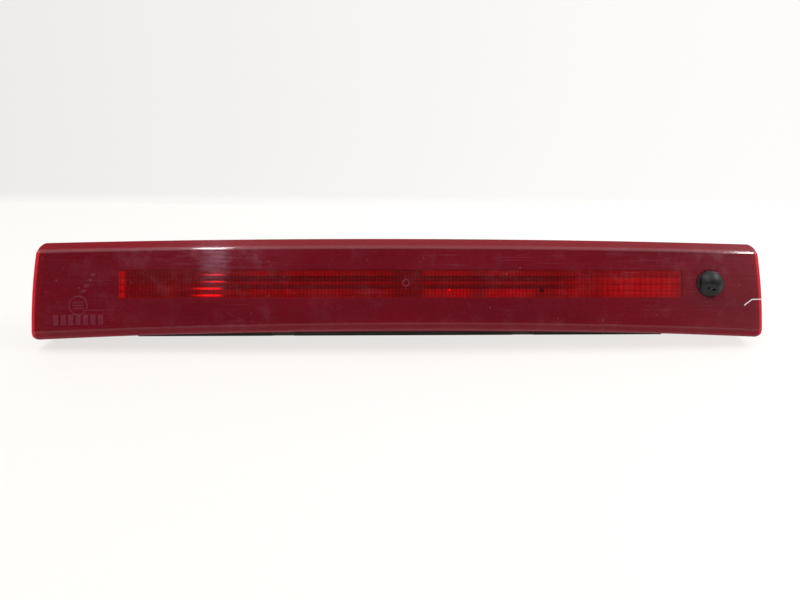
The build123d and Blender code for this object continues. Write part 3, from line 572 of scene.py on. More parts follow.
def lens_finish():
    """Polished dark red acrylic: tinted, glossy, hazed and scratched; painted glow along its ends,
    painted light on its top bevel and bottom round, painted glare below the crease.
    """
    shader = Shader("red_lens_acrylic")
    x, y, z = shader.axes(shader.place, MM)
    side = abs(x)
    outside = 1.0 - shader.read("NewGeometry", "Backfacing")
    arch = (side / HALF) ** 2.0
    top_place = z + arch * (ARCH_RISE - END_LIFT)
    low_place = z + arch * (ARCH_RISE + END_DROP)
    lean = (low_place - BOTTOM) ** 2.0
    end_place = side + lean * END_LEAN
    crease = TOP - BEVEL_HEIGHT
    floor = BOTTOM + MIDDLE_LIFT
    top_band = top_place.step(crease - 0.2, crease + 0.9)
    low_band = low_place.step(floor + 3.9, floor + 1.9)
    end_band = end_place.step(HALF - 1.9, HALF - 1.3)
    window = side.between(0.0, 118.0, 0.4)
    window = window * z.between(-5.5, 5.7, 0.4)
    bevel_only = top_place.step(crease + 0.5, crease + 1.5)
    behind = side.step(147.5, 149.0).larger(top_band)
    behind = behind.larger(low_place.step(floor + 5.0, floor + 4.0))
    shown = outside.larger(behind)

    cloud = shader.noise(55.0, 4.0, stretch=(0.35, 1.0, 1.0)).step(0.3, 0.7)
    red = shader.mix(cloud, tint(FACE_RED, 0.9), tint(FACE_RED, 1.1))
    # painted light: lighter red bands on the bottom round and on the top bevel
    red = shader.mix(low_band, red, LOW_LIT_RED)
    red = shader.mix(top_band, red, BEVEL_LIT_RED)
    # painted glow along both ends, brightest at their front edge
    front_edge = y.step(FRONT + PLAN_SAG + 2.7, FRONT + PLAN_SAG + 1.4)
    front_edge = front_edge * top_place.step(crease + 1.2, crease - 0.3)
    red = shader.mix(end_band, red, shader.mix(front_edge, END_GLOW_RED, EDGE_GLOW_RED))
    body = (0.82 - window * 0.74) * shown
    wall_colour = shader.mix(outside, grey(1.0), WALL_TINT)
    clear = shader.read("BsdfTransparent", 0, {"Color": wall_colour})
    cloudy = shader.read("BsdfDiffuse", 0, {"Color": red})
    inside = shader.layered(body, clear, cloudy)

    # painted glare: a haze streak fading downwards below the left highlight on the crease, and
    # blotches near it and at the right end, partly real scuffs, partly painted glare
    upper = top_place.step(-8.0, 14.0)
    off_streak = abs(x - GLARE_STREAK_X)
    streak = off_streak.step(8.0, 0.5) * upper
    near_glare = off_streak.step(46.0, 6.0) * upper
    right_end = x.step(60.0, 150.0) * upper
    scuffs_and_glare = near_glare.larger(right_end * 0.6)

    hairs = shader.noise(9.0, 5.0, 0.6, stretch=(4.0, 4.0, 240.0))
    hairs = hairs.step(0.56, 0.70)
    patchy = shader.noise(26.0, 3.0).step(0.42, 0.68)
    scratches = hairs * patchy.larger(scuffs_and_glare)
    for _ in range(SCRATCH_COUNT):
        start = (scratch_random.uniform(-110, 140), scratch_random.uniform(-15, 13))
        angle = math.radians(scratch_random.uniform(-70, 70))
        length = scratch_random.uniform(2.5, 9)
        end = (start[0] + length * math.cos(angle), start[1] + length * math.sin(angle))
        mark = line_mask(shader, start, end, SCRATCH_WIDTH)
        scratches = scratches.larger(mark * 0.6)
    keep = shader.noise(60.0, 2.0).step(0.48, 0.60)
    specks = shader.cells(240.0).step(0.10, 0.04) * keep
    film = shader.noise(34.0, 6.0, 0.7, stretch=(1.0, 1.0, 2.5)).step(0.36, 0.72)
    smear = shader.noise(75.0, 6.0, 0.75, stretch=(1.0, 1.0, 13.0)).step(0.36, 0.64)

    crack, rest = [
        line_mask(shader, start, end, HAIRLINE_WIDTH) for start, end in zip(HAIRLINE, HAIRLINE[1:])
    ]
    crack = crack.larger(rest)

    relief = scratches * -0.6 + shader.noise(420.0, 2.0)
    normal = shader.bump(relief, 0.004)
    sharp, broad = [
        shader.read("BsdfGlossy", 0, {"Color": grey(1.0), "Roughness": blur, "Normal": normal})
        for blur in (0.07, 0.34)
    ]
    gloss = shader.layered(0.10, sharp, broad)
    mirror = shader.read("Fresnel", 0, {"IOR": 1.49, "Normal": normal})
    # painted shade: the reflection is held back on the bottom round and the bevel, most on the
    # bevel towards the left end
    bevel_reflection_shade = x.step(-40.0, -125.0).scaled(0.62, 0.88)
    damped_reflection = (low_band * 0.75).larger(bevel_only * bevel_reflection_shade)
    mirror = mirror * outside * (1.0 - damped_reflection)
    coated = shader.layered(mirror, inside, gloss)

    grain = shader.noise(1300.0, 5.0, 0.8).step(0.46, 0.72)
    smudge = shader.noise(75.0, 6.0, 0.75).step(0.49, 0.70)
    haze_and_glare = film * 0.005
    for mask, amount in ((scratches, 0.045), (specks, 0.12), (grain, 0.018), (smudge, 0.017)):
        haze_and_glare = haze_and_glare + mask * amount
    # painted glare streak and blotches, laid as diffuse haze over real smudges
    glare_haze = streak * smear.scaled(0.04, 0.17)
    worn = scuffs_and_glare * (smudge + smear * 0.5)
    haze_and_glare = haze_and_glare + glare_haze + worn * 0.048
    haze_and_glare = haze_and_glare * bevel_only.scaled(1.0, 0.25)
    haze_and_glare = haze_and_glare.larger(crack * 0.9) * outside
    dull_colour = shader.mix(crack, HAZE_AND_GLARE_COLOUR, (0.95, 0.88, 0.88, 1.0))
    dull = shader.read("BsdfDiffuse", 0, {"Color": dull_colour})
    shader.output(shader.layered(haze_and_glare, coated, dull))
    return shader.material


# ---- optic, mask and board materials -------------------------------------------------
# colour of the optic's painted glow, and its base colour
RED_LIGHT = (1.0, 0.09, 0.14, 1.0)
ROW_HEIGHT = 2 * WINDOW_HALF_HEIGHT / ROW_COUNT
GLINT_LEVEL = 4.0        # height of the top row of glints near the left end
GLINT_PITCH = 2.88       # the other rows lie this far below each other
SPARK_GLINT = (18.7, -2.5)     # a small painted glint
SPECK = (58.4, -2.6)     # a dark fleck behind the lens


def cell_lines(shader, place, origin, pitch, start, full):
    """0 in the middle of every cell along one direction, 1 on the lines between cells."""
    cell = shader.math("FRACT", (place - origin) / pitch)
    return abs(cell - 0.5).step(start, full)


def optic_finish():
    """Fluted acrylic with a painted red glow in rows, some of them brighter than others; the glow
    is emission, though the lamp is not lit.
    """
    shader = Shader("fluted_optic")
    x, _, z = shader.axes(shader.place, MM)
    across = (z + WINDOW_HALF_HEIGHT) / (2 * WINDOW_HALF_HEIGHT)
    # painted glow: brightness of each row, dimmer at the left and brighter at the right, with lit,
    # shaded and dark parts, given as emission
    middle = shader.grey_ramp(across, [
        (0.00, 0.20), (0.03, 0.32), (0.055, 0.16), (0.10, 0.19), (0.30, 0.23),
        (0.345, 0.080), (0.475, 0.075), (0.50, 0.19), (0.59, 0.18), (0.61, 0.075),
        (0.79, 0.07), (0.82, 0.25), (0.95, 0.24), (1.00, 0.17),
    ])
    bright = shader.grey_ramp(across, [
        (0.00, 0.30), (0.23, 0.34), (0.255, 0.22), (0.28, 0.33),
        (0.47, 0.33), (0.50, 0.13), (0.53, 0.34), (0.76, 0.32), (0.79, 0.10),
        (0.825, 0.25), (1.00, 0.27),
    ])
    dim = shader.grey_ramp(across, [
        (0.00, 0.26), (0.05, 0.15), (0.24, 0.13), (0.26, 0.17), (0.50, 0.13),
        (0.76, 0.11), (1.00, 0.17),
    ])
    uneven = shader.noise(75.0, 4.0, 0.65, stretch=(1.0, 0.1, 0.25))
    right = x.step(62, 88)
    left = x.step(-78, -92)
    value = shader.mix(right, middle, bright)
    value = shader.mix(left, value, dim)
    lower = z.step(-1.9, -2.3) * uneven.step(0.42, 0.56)
    lit = x.between(14, 60, 8) * lower
    value = shader.mix(lit, value, grey(0.29))
    gate_shade = x.between(-3.0, 5.0, 5)
    value = shader.mix(gate_shade * 0.8, value, grey(0.09))
    shade = x.between(78, 82, 7)
    value = shader.mix(shade * 0.4, value, grey(0.12))
    duller = uneven.step(0.35, 0.65).scaled(0.42, 0.0)
    value = shader.mix(duller, value, grey(0.06))

    fine = cell_lines(shader, x, -optic_high.x, FINE_PITCH, 0.22, 0.44)
    coarse = cell_lines(shader, x, 80.1, COARSE_PITCH, 0.34, 0.48)
    wide = x.step(80.0, 80.2)
    upright = shader.mix_numbers(wide, fine, coarse)
    level = cell_lines(shader, z, 0.0, ROW_HEIGHT, 0.38, 0.49)
    lines = (upright * 0.50).larger(level * 0.35)
    value = shader.mix(lines, value, grey(0.03))

    strip = x.step(-117.2, -117.8)
    strip_level = cell_lines(shader, z, 0.0, ROW_HEIGHT, 0.22, 0.48)
    strip_cells = (strip_level * 0.65).larger(upright * 0.45)
    value = shader.mix(strip, value, shader.mix(strip_cells, grey(0.42), grey(0.1)))
    # painted glints: four thin bright rows near the left end
    past_row = shader.math("FRACT", (z - GLINT_LEVEL) / GLINT_PITCH + 0.5) - 0.5
    lower_rows = z.step(0.5, -0.5)
    on_row = (abs(past_row) - lower_rows * 0.05).step(0.14, 0.04)
    rise = (x - lower_rows.scaled(4.0, 0.0)).step(-91.5, -82.0)
    fall = (x - lower_rows.scaled(1.2, 0.0)).step(-75.6, -79.6)
    value = shader.mix(rise * fall * on_row, value, grey(1.1))
    # a painted glint, and a dark fleck behind the lens
    for spot, edge, core, brightness in ((SPARK_GLINT, 0.25, 0.02, 1.2), (SPECK, 1.6, 0.5, 0.012)):
        away = (x - spot[0]) ** 2.0 + (z - spot[1]) ** 2.0
        value = shader.mix(away.step(edge, core), value, grey(brightness))
    red = shader.mix(1.0, value, RED_LIGHT, "MULTIPLY")
    texture = shader.noise(3500.0, 2.0)
    return shader.finished(
        red, 0.16, texture, 0.004, IOR=1.49, Specular_IOR_Level=0.9,
        Emission_Color=RED_LIGHT, Emission_Strength=value,
    )


def mask_finish():
    """Moulded plate behind the lens: satin, slightly mottled."""
    shader = Shader("mask_plate")
    cloud = shader.noise(45.0, 5.0, 0.6)
    fine = shader.noise(2600.0, 3.0)
    streaks = shader.noise(26.0, 4.0, stretch=(1.0, 1.0, 14.0))
    blend = cloud * 0.6 + streaks * 0.4
    base = shader.mix(blend.step(0.36, 0.64), grey(0.25), grey(0.34))
    return shader.finished(base, cloud.scaled(0.42, 0.60), fine, 0.015)


def board_finish():
    """Green solder mask over a woven laminate, with tracks showing through."""
    shader = Shader("board_laminate_green")
    flat = shader.stretched((1.0, 1.0, 1.0), (math.radians(90), 0.0, 0.0))
    weave = shader.waves(900.0, 1.5)
    tracks = shader.read("TexBrick", "Color", {
        "Vector": flat, "Color1": grey(0.0), "Color2": grey(0.0), "Mortar": grey(1.0),
        "Scale": 60.0, "Mortar Size": 0.035, "Brick Width": 0.9, "Row Height": 0.22,
    })
    base = shader.mix(tracks, (0.018, 0.13, 0.045, 1.0), (0.05, 0.27, 0.10, 1.0))
    base = shader.mix(weave * 0.25, base, (0.01, 0.07, 0.03, 1.0))
    return shader.finished(base, weave.scaled(0.28, 0.42), weave, 0.01)


def epoxy_finish():
    """Clear red epoxy of the LED bodies."""
    shader = Shader("led_epoxy_red")
    cloud = shader.noise(600.0, 3.0)
    base = shader.mix(cloud, (0.75, 0.10, 0.09, 1.0), (0.95, 0.30, 0.26, 1.0))
    return shader.finished(base, cloud.scaled(0.06, 0.2), cloud, 0.01, Transmission_Weight=0.7)


def housing_finish():
    """Black spark-textured polypropylene, dusty along its edges, and lighter grey in two patches at
    the lower notches.
    """
    shader = Shader("black_housing_plastic")
    x, _, z = shader.axes(shader.place, MM)
    spark = shader.noise(3200.0, 5.0, 0.7)
    pits = shader.cells(2100.0)
    cloud = shader.noise(60.0, 5.0, 0.65).step(0.36, 0.68)
    base = shader.mix(cloud, grey(0.014), grey(0.030))
    facing_up = shader.facing((0.0, 0.3, 0.95)).step(-0.5, 0.9)
    settled = shader.noise(520.0, 7.0, 0.75).step(0.46, 0.78)
    dust = facing_up * settled * 0.22
    # lighter grey in two patches at the lower notches, mixed into the dust mask
    notch = abs(x).between(48.5, 57.5, 1.0)
    notch = notch * z.step(-18.0, -19.5)
    dust = dust.larger(notch * settled.scaled(0.12, 0.32))
    base = shader.mix(dust, base, (0.34, 0.29, 0.26, 1.0))
    broken = shader.noise(1100.0, 4.0, 0.7).step(0.4, 0.7)
    worn = edge_mask(shader, 0.35) * broken * 0.5
    base = shader.mix(worn, base, grey(0.16))
    relief = spark + pits * 0.5
    rough_value = shader.math("ADD", cloud.scaled(0.44, 0.58), dust * 0.4, clamp=True)
    return shader.finished(base, rough_value, relief, 0.03)


def membrane_finish():
    """White vent membrane with a fine weave."""
    shader = Shader("vent_membrane_white")
    weave = shader.waves(1600.0) * shader.waves(1600.0, direction="Z")
    base = shader.mix(weave, (0.62, 0.61, 0.58, 1.0), (0.88, 0.87, 0.85, 1.0))
    return shader.finished(base, 0.85, weave, 0.03)


def foam_finish():
    """Closed-cell foam: dark, dull, full of small cells."""
    shader = Shader("foam_gasket_cells")
    cells = shader.cells(1500.0)
    cloud = shader.noise(120.0, 5.0)
    base = shader.mix(cells, grey(0.075), grey(0.018))
    base = shader.mix(cloud.step(0.5, 0.75), base, (0.11, 0.105, 0.10, 1.0))
    relief = cells + shader.cells(600.0) * 0.6
    return shader.finished(base, 0.92, relief, 0.12)


scratch_random = random.Random(7)
FINISHES = {
    "red_lens": lens_finish(),
    "black_mask": mask_finish(),
    "clear_optic": optic_finish(),
    "bright_reflector": finish("reflector_metal", (0.86, 0.86, 0.87), 0.10, 1.0, 0.8, 0.004, 0.05),
    "board_laminate": board_finish(),
    "led_epoxy": epoxy_finish(),
    "tinned_metal": finish("tinned_brass", (0.72, 0.71, 0.67), 0.30, 1.0, 0.25, 0.008, 0.16,
                           streak=0.3),
    "component_black": finish("moulded_epoxy", (0.03, 0.03, 0.032), 0.5, 0.0, 0.2, 0.01, 0.3),
    "capacitor_tan": finish("ceramic_tan", (0.52, 0.38, 0.24), 0.45, 0.0, 0.2, 0.01, 0.2),
    "black_nylon": finish("glass_filled_nylon", (0.024, 0.024, 0.026), 0.42, 0.0, 0.5, 0.015, 0.35,
                          streak=0.25, dust=0.25, wear=0.5),
    "seal_rubber": finish("seal_rubber_black", (0.022, 0.022, 0.023), 0.62, 0.0, 0.5, 0.02, 0.3,
                          dust=0.35),
    "zinc_steel": finish("zinc_plated_steel", (0.62, 0.61, 0.55), 0.32, 1.0, 0.3, 0.006, 0.2,
                         streak=0.2),
    "black_housing": housing_finish(),
    "grey_sealant": finish("hot_melt_sealant", (0.10, 0.10, 0.10), 0.45, 0.0, 1.2, 0.05, 0.25),
    "foam_gasket": foam_finish(),
    "white_membrane": membrane_finish(),
    "spring_steel": finish("phosphated_spring_steel", (0.23, 0.20, 0.18), 0.46, 0.85, 0.18, 0.012,
                           0.35, streak=0.3, wear=0.6, wear_colour=(0.55, 0.52, 0.48, 1.0)),
    "jet_black": finish("worn_jet_plastic", (0.009, 0.0100, 0.0105), 0.42, 0.0, 0.35, 0.02, 0.4,
                        dust=0.02, wear=0.35, wear_colour=(0.09, 0.09, 0.09, 1.0), specular=0.28),
    "nozzle_grey": finish("acetal_grey", (0.045, 0.045, 0.05), 0.35, 0.0, 0.3, 0.01, 0.2),
}


# ---- pieces made here ----------------------------------------------------------------
def lens_patches(mesh, inset, ease):
    """Adds one skin of the lens: body, rounded ends and end walls. Returns its rear edge."""
    turns = spread(0, math.pi / 2, 6)[1:]
    columns = []
    for side, order in ((-1, list(reversed(turns))), (0, []), (1, turns)):
        if side == 0:
            roof, front, floor = lens_section(inset)
            points = roof + front[1:] + floor[1:]
            for share in spread(-1, 1, 180):
                columns.append([
                    on_lens(share * (end_x(p.y, inset) - ease), p.x, p.y) for p in points
                ])
        for turn in order:
            roof, front, floor = lens_section(inset + ease * (1 - math.cos(turn)))
            points = roof + front[1:] + floor[1:]
            back = ease * (1 - math.sin(turn))
            columns.append([on_lens(side * (end_x(p.y, inset) - back), p.x, p.y) for p in points])
    add_grid(mesh, columns)

    roof, front, floor = lens_section(inset + ease)
    shares = spread(0, 1, len(roof) - 1)
    ends = {}
    for side in (-1, 1):
        rows = []
        for point in front:
            part = (point.y - floor[0].y) / (roof[-1].y - floor[0].y)
            rear_z = floor[-1].y + part * (roof[0].y - floor[-1].y)
            row = []
            for share in shares:
                z = point.y + share * (rear_z - point.y)
                row.append(on_lens(side * end_x(z, inset), point.x + share * (REAR - point.x), z))
            rows.append(row)
        add_grid(mesh, rows)
        ends[side] = [row[-1] for row in rows]
    top_edge = [column[0] for column in columns]
    low_edge = [column[-1] for column in reversed(columns)]
    return top_edge + ends[1][1:-1] + low_edge + list(reversed(ends[-1]))[1:-1]


def lens_shell():
    """The red cap as a closed shell with the stepped hole for the washer jet."""
    mesh = bmesh.new()
    outer_edge = lens_patches(mesh, 0.0, OUTER_EASE)
    inner_edge = lens_patches(mesh, LENS_WALL, INNER_EASE)
    add_grid(mesh, [outer_edge, inner_edge], close_columns=True)
    lens = make_piece("lens_shell", mesh, FINISHES["red_lens"])

    seat = jet_seal_high.y + 0.02
    recess = (jet_seal_high.x - jet_seal_low.x) / 2 + 0.25
    bore = (barrel_high.x - barrel_low.x) / 2 + 0.3
    ahead, behind = FRONT - 5, REAR - 5
    profile = [(0, ahead), (recess, ahead), (recess, seat), (bore, seat), (bore, behind),
               (0, behind)]
    cutter = lathe_piece("cutter", profile, JET_X, 0.0, FINISHES["red_lens"])
    cut = lens.modifiers.new("jet_hole", "BOOLEAN")
    cut.operation = "DIFFERENCE"
    cut.solver = "EXACT"
    cut.object = cutter
    graph = bpy.context.evaluated_depsgraph_get()
    shaped = bpy.data.meshes.new_from_object(lens.evaluated_get(graph))
    lens.modifiers.clear()
    lens.data = shaped
    bpy.data.objects.remove(cutter)
    place(lens, "red_lens", "outer_lens")


def optic_pillows():
    """The optic plate with four rows of small pillows, wider ones towards the right end."""
    half = optic_high.x
    edges = [-half]
    while edges[-1] < half - 0.6:
        pitch = COARSE_PITCH if edges[-1] > COARSE_FROM else FINE_PITCH
        edges.append(min(edges[-1] + pitch, half))
    stations = []
    for start, end in zip(edges, edges[1:]):
        stations += [(start + (end - start) * k / 4, 1 - (k / 2 - 1) ** 2) for k in range(4)]
    stations.append((half, 0.0))
    levels = [(optic_low.z, 0.0)]
    for row in range(ROW_COUNT):
        low = -WINDOW_HALF_HEIGHT + row * ROW_HEIGHT
        levels += [(low + ROW_HEIGHT * k / 6, 1 - (k / 3 - 1) ** 2) for k in range(6)]
    levels += [(WINDOW_HALF_HEIGHT, 0.0), (optic_high.z, 0.0)]
    front_y = optic_low.y
    back_y = front_y + 2.2
    front, back = [], []
    for z, row_bulge in levels:
        front.append([])
        back.append([])
        for x, bulge in stations:
            depth = PILLOW_DEPTH * (1 - row_bulge * (0.45 + 0.55 * bulge))
            front[-1].append(Vector((x, front_y + depth + plan_back(x), z)) * MM)
            back[-1].append(Vector((x, back_y + plan_back(x), z)) * MM)
    mesh = bmesh.new()
    add_slab(mesh, front, back)
    piece = make_piece("optic_pillows", mesh, FINISHES["clear_optic"], 60)
    place(piece, "clear_optic", "optic_plate")


def mark_finish():
    """The lens plastic where it is moulded proud: duller and greyer than the face round it."""
    shader = Shader("moulded_mark_red")
    worn = shader.noise(900.0, 4.0, 0.7)
    share = worn.step(0.35, 0.7)
    base = shader.mix(share, (0.150, 0.014, 0.028, 1.0), (0.175, 0.030, 0.046, 1.0))
    return shader.finished(base, worn.scaled(0.3, 0.5), worn, 0.02, Specular_IOR_Level=0.12)


def moulded_marks():
    """Plain raised ring, stripes and bars at the left end, and the gate ring in the middle."""
    mesh = bmesh.new()

    def raised_ring(centre_x, centre_z, inner, outer):
        section = [(inner, -0.1), (inner, 0.06), (inner + 0.1, MARK_RISE), (outer - 0.1, MARK_RISE),
                   (outer, 0.06), (outer, -0.1)]
        rows = [[
            face_point(centre_x + radius * math.cos(a), centre_z + radius * math.sin(a), rise)
            for a in around(64)
        ] for radius, rise in section]
        add_grid(mesh, rows, True, True)

    def raised_bar(low_x, low_z, width, height, slant=0.0):
        edge = [(0.0, 0.0), (0.08, 0.8), (0.2, 1.0)]
        xs, zs = [
            edge + [(size - inset, rise) for inset, rise in reversed(edge)]
            for size in (width, height)
        ]
        front = [[
            face_point(low_x + x + slant * z, low_z + z, MARK_RISE * min(rise_x, rise_z))
            for x, rise_x in xs
        ] for z, rise_z in zs]
        back = [[face_point(low_x + x + slant * z, low_z + z, -0.12) for x, _ in xs] for z, _ in zs]
        add_slab(mesh, front, back)

    raised_ring(0.0, 0.0, 1.05, 1.65)
    for low_z in (1.9, -3.0):
        raised_bar(-0.15, low_z, 0.3, 1.1)
    raised_ring(*MARK_RING, 3.5, 4.0)
    for offset in (-1.3, -0.2, 0.9):
        raised_bar(MARK_RING[0] - 2.3, MARK_RING[1] + offset, 4.6, 0.45)
    for index in range(7):
        raised_bar(MARK_BARS_FROM + MARK_BAR_PITCH * index, MARK_BARS_LOW, *MARK_BAR_SIZE)
    for dash_x, dash_z in MARK_DASHES:
        raised_bar(dash_x, dash_z, *MARK_DASH_SIZE, 0.3)
    piece = make_piece("moulded_marks", mesh, mark_finish())
    place(piece, "red_lens")


def gasket_foam():
    """Foam ring on the rear, a little uneven as cut foam is."""
    inset = 1.6
    section = rounded_section(inset, inset + 3.0, gasket_low.y, gasket_high.y, 0.35)

    def loop_at(offset, y):
        points = []
        for x, z in outline(offset, 420):
            point = Vector((x, y, z - arch_drop(x))) * MM
            out = rough(point, 2.6, 0.05) + rough(point, 0.9, 0.02, 5.0)
            lift = min(out, 0.0) if y > gasket_high.y - 0.3 else out
            points.append(point + Vector((0, lift, out)) * MM)
        return points

    piece = ring_piece("gasket_foam", section, loop_at, FINISHES["foam_gasket"])
    place(piece, "foam_gasket", "body_gasket")


def sealant_bead():
    """Hot-melt bead between the tray wall and the lens skirt, laid in one lumpy run."""
    inner = 3.55
    section = rounded_section(inner - 0.7, inner, sealant_low.y, sealant_high.y - 0.05, 0.3)

    def loop_at(offset, y):
        points = []
        for x, z in outline(offset, 300):
            point = Vector((x, y, z - arch_drop(x))) * MM
            lump = rough(point, 4.0, 0.3) if y < sealant_low.y + 0.8 else 0.0
            points.append(point + Vector((0, lump, 0)) * MM)
        return points

    piece = ring_piece("sealant_bead", section, loop_at, FINISHES["grey_sealant"])
    place(piece, "grey_sealant", "lens_sealant")


def header_seal():
    """Rubber frame round the harness socket, with a lip on its rear."""
    centre_x = (header_seal_low.x + header_seal_high.x) / 2
    half_x = (header_seal_high.x - header_seal_low.x) / 2
    half_z = (header_seal_high.z - header_seal_low.z) / 2
    wall = 1.08
    front, rear = header_seal_low.y, header_seal_high.y
    section = [(0.05, front), (wall - 0.1, front), (wall, front + 0.15), (wall, rear),
               (wall - 0.3, rear + 0.9), (wall - 0.55, rear + 1.0), (0.5, rear + 0.35),
               (0.0, rear + 0.05), (0.0, front + 0.1)]

    def loop_at(offset, y):
        radius = max(1.5 - offset, 0.5)
        a, b = half_x - offset, half_z - offset
        loop = rounded_section(centre_x - a, centre_x + a, -b, b, radius, 8)
        return [Vector((point.x, y, point.y)) * MM for point in loop]

    piece = ring_piece("header_seal", section, loop_at, FINISHES["seal_rubber"])
    place(piece, "seal_rubber", "connector_seal")


def jet_washer():
    """Rubber washer under the jet head, with a rounded rim."""
    outer = (jet_seal_high.x - jet_seal_low.x) / 2
    inner = (barrel_high.x - barrel_low.x) / 2 + 0.1
    section = rounded_section(inner, outer, jet_seal_low.y, jet_seal_high.y, 0.2)
    profile = [(point.x, point.y) for point in section]
    piece = lathe_piece("jet_washer", profile, JET_X, 0.0, FINISHES["seal_rubber"])
    place(piece, "seal_rubber", "jet_head_seal")


def valve_rubber():
    """Seat ring of the check valve, with a conical face for the ball."""
    outer = (valve_high.x - valve_low.x) / 2
    front, rear = valve_low.y, valve_high.y
    profile = [(0.8, rear), (0.8, front + 0.75), (1.05, front + 0.35), (1.45, front),
               (outer - 0.2, front), (outer, front + 0.2), (outer, rear - 0.2), (outer - 0.2, rear)]
    piece = lathe_piece("valve_rubber", profile, JET_X, 0.0, FINISHES["seal_rubber"])
    place(piece, "seal_rubber", "valve_seat")


def valve_coil():
    """Wire spring behind the ball, closer wound at its ends."""
    centre_z = (spring_low.z + spring_high.z) / 2
    radius = (spring_high.x - spring_low.x) / 2 - SPRING_WIRE
    start, end = spring_low.y + SPRING_WIRE, spring_high.y - SPRING_WIRE
    rows = []
    for share in spread(0, 1, 48 * SPRING_TURNS):
        turn = 2 * math.pi * SPRING_TURNS * share
        out = Vector((math.cos(turn), 0, math.sin(turn)))
        level = start + (end - start) * (share - 0.1 * math.sin(2 * math.pi * share))
        pitch = (end - start) * (1 - 0.2 * math.pi * math.cos(2 * math.pi * share))
        climb = pitch / (2 * math.pi * SPRING_TURNS)
        ahead = Vector((-math.sin(turn) * radius, climb, math.cos(turn) * radius))
        aside = out.cross(ahead.normalized())
        wire = SPRING_WIRE if 0 < share < 1 else 0.0
        centre = Vector((JET_X, level, centre_z)) + out * radius
        rows.append([
            (centre + (out * math.cos(a) + aside * math.sin(a)) * wire) * MM for a in around(12)
        ])
    mesh = bmesh.new()
    add_grid(mesh, rows, close_columns=True)
    piece = make_piece("valve_coil", mesh, FINISHES["spring_steel"])
    place(piece, "spring_steel", "valve_spring")
    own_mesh(piece)


def vent_membrane():
    """Thin vent disc, slightly sunk in its middle."""
    radius = (membrane_high.x - membrane_low.x) / 2
    centre_x = (membrane_high.x + membrane_low.x) / 2
    front, rear = membrane_low.y, membrane_high.y
    radii = spread(0, radius - 0.05, 10)
    top = [(r, rear - 0.04 * (1 - (r / radius) ** 2)) for r in radii]
    under = [(r, front) for r in reversed(radii)]
    profile = top + [(radius, (front + rear) / 2)] + under
    piece = lathe_piece("vent_membrane", profile, centre_x, 0.0, FINISHES["white_membrane"])
    place(piece, "white_membrane", "breather_membrane")


# ---- stage, light and camera ---------------------------------------------------------
LEAN = math.radians(20)              # the lamp leans back by this on the table
TABLE_UP = Vector((0, -math.sin(LEAN), math.cos(LEAN)))
TABLE_BACK = Vector((0, math.cos(LEAN), math.sin(LEAN)))
CONTACT = Vector((0, gasket_low.y, housing_low.z - 0.1))
WALL_DISTANCE = 312.0
WALL_TURN = 0.04                     # the wall comes this much nearer per length to the right
STAGE_HALF_WIDTH = 2200.0
STAGE_FORWARD = 1700.0
STAGE_HEIGHT = 1500.0
STAGE_BEND = 10.0                    # radius between table and wall
CAMERA_PLACE = (-12.7, -284.1, -9.5)
CAMERA_YAW = math.radians(2.28)
CAMERA_PITCH = math.radians(-0.61)
CAMERA_ROLL = math.radians(-0.12)
CAMERA_LENS = 28.0
SENSOR_WIDTH = 36.0


def stage_finish():
    """White table and wall, glowing a little to keep shadows faint; seen only from in front."""
    shader = Shader("pale_stage")
    height = shader.dot(shader.vector("SUBTRACT", shader.place, CONTACT * MM), TABLE_UP)
    x = shader.axes(shader.place)[0]
    cloud = shader.noise(3.0, 4.0)
    # painted light: table and wall glow brighter towards the right
    rightwards = x.step(-0.5, 0.35)
    on_wall = height.step(0.0, 0.004)
    table = rightwards.scaled(0.68, 0.80)
    wall = rightwards.scaled(0.70, 0.84)
    glow = shader.mix_numbers(on_wall, table, wall)
    base = shader.mix(cloud, (0.165, 0.160, 0.155, 1.0), (0.185, 0.180, 0.175, 1.0))
    base = shader.mix(on_wall, base, grey(0.16))
    surface = shader.read("BsdfPrincipled", 0, {
        "Base Color": base, "Roughness": 0.6, "Specular IOR Level": 0.25,
        "Emission Color": (1.0, 0.985, 0.965, 1.0), "Emission Strength": glow,
        "Normal": shader.bump(shader.noise(900.0, 3.0), 0.02),
    })
    hidden = shader.read("NewGeometry", "Backfacing")
    empty = shader.read("BsdfTransparent", 0)
    shader.output(shader.layered(hidden, surface, empty))
    return shader.material


def build_stage():
    profile = [(-STAGE_FORWARD, 0.0)] + [
        (STAGE_BEND * (math.sin(angle) - 1), STAGE_BEND * (1 - math.cos(angle)))
        for angle in spread(0, math.pi / 2, 6)
    ] + [(0.0, STAGE_HEIGHT)]
    mesh = bmesh.new()
    rows = []
    for back, up in profile:
        row = []
        for x in (-STAGE_HALF_WIDTH, STAGE_HALF_WIDTH):
            wall_at = WALL_DISTANCE - WALL_TURN * x
            point = CONTACT + TABLE_BACK * (back + wall_at) + TABLE_UP * up
            row.append((point + Vector((x, 0, 0))) * MM)
        rows.append(row)
    add_grid(mesh, rows)
    for face in mesh.faces:
        face.normal_update()
        if face.normal.dot(TABLE_UP - TABLE_BACK) < 0:
            face.normal_flip()
    data = bpy.data.meshes.new("stage")
    mesh.to_mesh(data)
    mesh.free()
    data.shade_smooth()
    data.materials.append(stage_finish())
    stage = bpy.data.objects.new("stage", data)
    bpy.context.scene.collection.objects.link(stage)


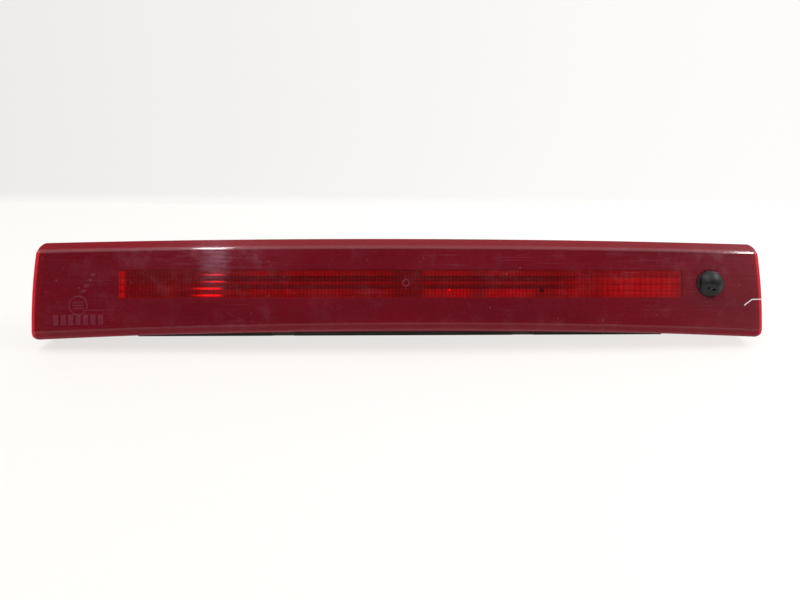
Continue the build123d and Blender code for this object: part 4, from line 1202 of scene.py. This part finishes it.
def build_world():
    """Pale room: bright above and in front, dim behind the camera, brighter to the right."""
    world = bpy.data.worlds.new("room")
    bpy.context.scene.world = world
    world.use_nodes = True
    shader = Shader("room", world.node_tree)
    ray = shader.read("TexCoord", "Generated")
    x, y, _ = shader.axes(ray)
    up = shader.dot(ray, TABLE_UP)
    ahead = y.step(0.1, -0.5).scaled(0.42, 1.25)
    light = up.step(0.52, 0.85) * ahead
    light = light + x.step(0.42, 0.75) * 0.40 + x.step(-0.6, -0.9) * 0.25 + 0.045
    seen = shader.read("LightPath", "Is Camera Ray")
    light = shader.mix_numbers(seen, light, 0.86)
    glow = {"Color": (1.0, 0.99, 0.975, 1.0), "Strength": light}
    shader.output(shader.read("Background", 0, glow), "OutputWorld")


def add_tube(name, start, end, width, brightness):
    """A long narrow ceiling light between two points in metres, shining down on the lamp."""
    start, end = Vector(start), Vector(end)
    along = (end - start).normalized()
    up = (Vector((0, 0, 1)) - along * along.z).normalized()
    data = bpy.data.lights.new(name, "AREA")
    data.shape = "RECTANGLE"
    data.size = (end - start).length
    data.size_y = width
    data.energy = brightness * math.pi * data.size * data.size_y
    light = bpy.data.objects.new(name, data)
    matrix = Matrix((along, up.cross(along), up)).transposed().to_4x4()
    matrix.translation = (start + end) / 2
    light.matrix_world = matrix
    bpy.context.scene.collection.objects.link(light)


def build_camera():
    """Camera at the height, distance and slight turn from which the lamp is looked at."""
    data = bpy.data.cameras.new("camera")
    data.lens = CAMERA_LENS
    data.sensor_width = SENSOR_WIDTH
    data.clip_start = 0.005
    data.clip_end = 20.0
    camera = bpy.data.objects.new("camera", data)
    ahead = Vector((math.sin(CAMERA_YAW), math.cos(CAMERA_YAW), 0))
    forward = ahead * math.cos(CAMERA_PITCH) - Vector((0, 0, math.sin(CAMERA_PITCH)))
    level = Vector((math.cos(CAMERA_YAW), -math.sin(CAMERA_YAW), 0))
    upright = level.cross(forward)
    right = level * math.cos(CAMERA_ROLL) + upright * math.sin(CAMERA_ROLL)
    up = upright * math.cos(CAMERA_ROLL) - level * math.sin(CAMERA_ROLL)
    matrix = Matrix((right, up, -forward)).transposed().to_4x4()
    matrix.translation = Vector(CAMERA_PLACE) * MM
    camera.matrix_world = matrix
    bpy.context.scene.collection.objects.link(camera)
    bpy.context.scene.camera = camera


# ---- put it together -----------------------------------------------------------------
for subpart in frame["record"]["subparts"]:
    node = frame["nodes"][subpart["node"]]
    for material_slot in node.material_slots:
        material_slot.material = FINISHES[subpart["material_slot"]]

lens_shell()
optic_pillows()
moulded_marks()
gasket_foam()
sealant_bead()
header_seal()
jet_washer()
valve_rubber()
valve_coil()
vent_membrane()

build_stage()
build_world()
add_tube("tube_left", (-0.44, -0.02, 1.30), (-0.76, -1.75, 1.30), 0.10, 28.0)
add_tube("tube_right", (1.02, 0.05, 1.30), (1.78, -1.70, 1.30), 0.14, 32.0)
build_camera()
bpy.context.scene.view_settings.view_transform = "Standard"
bpy.context.scene.cycles.transparent_max_bounces = 24
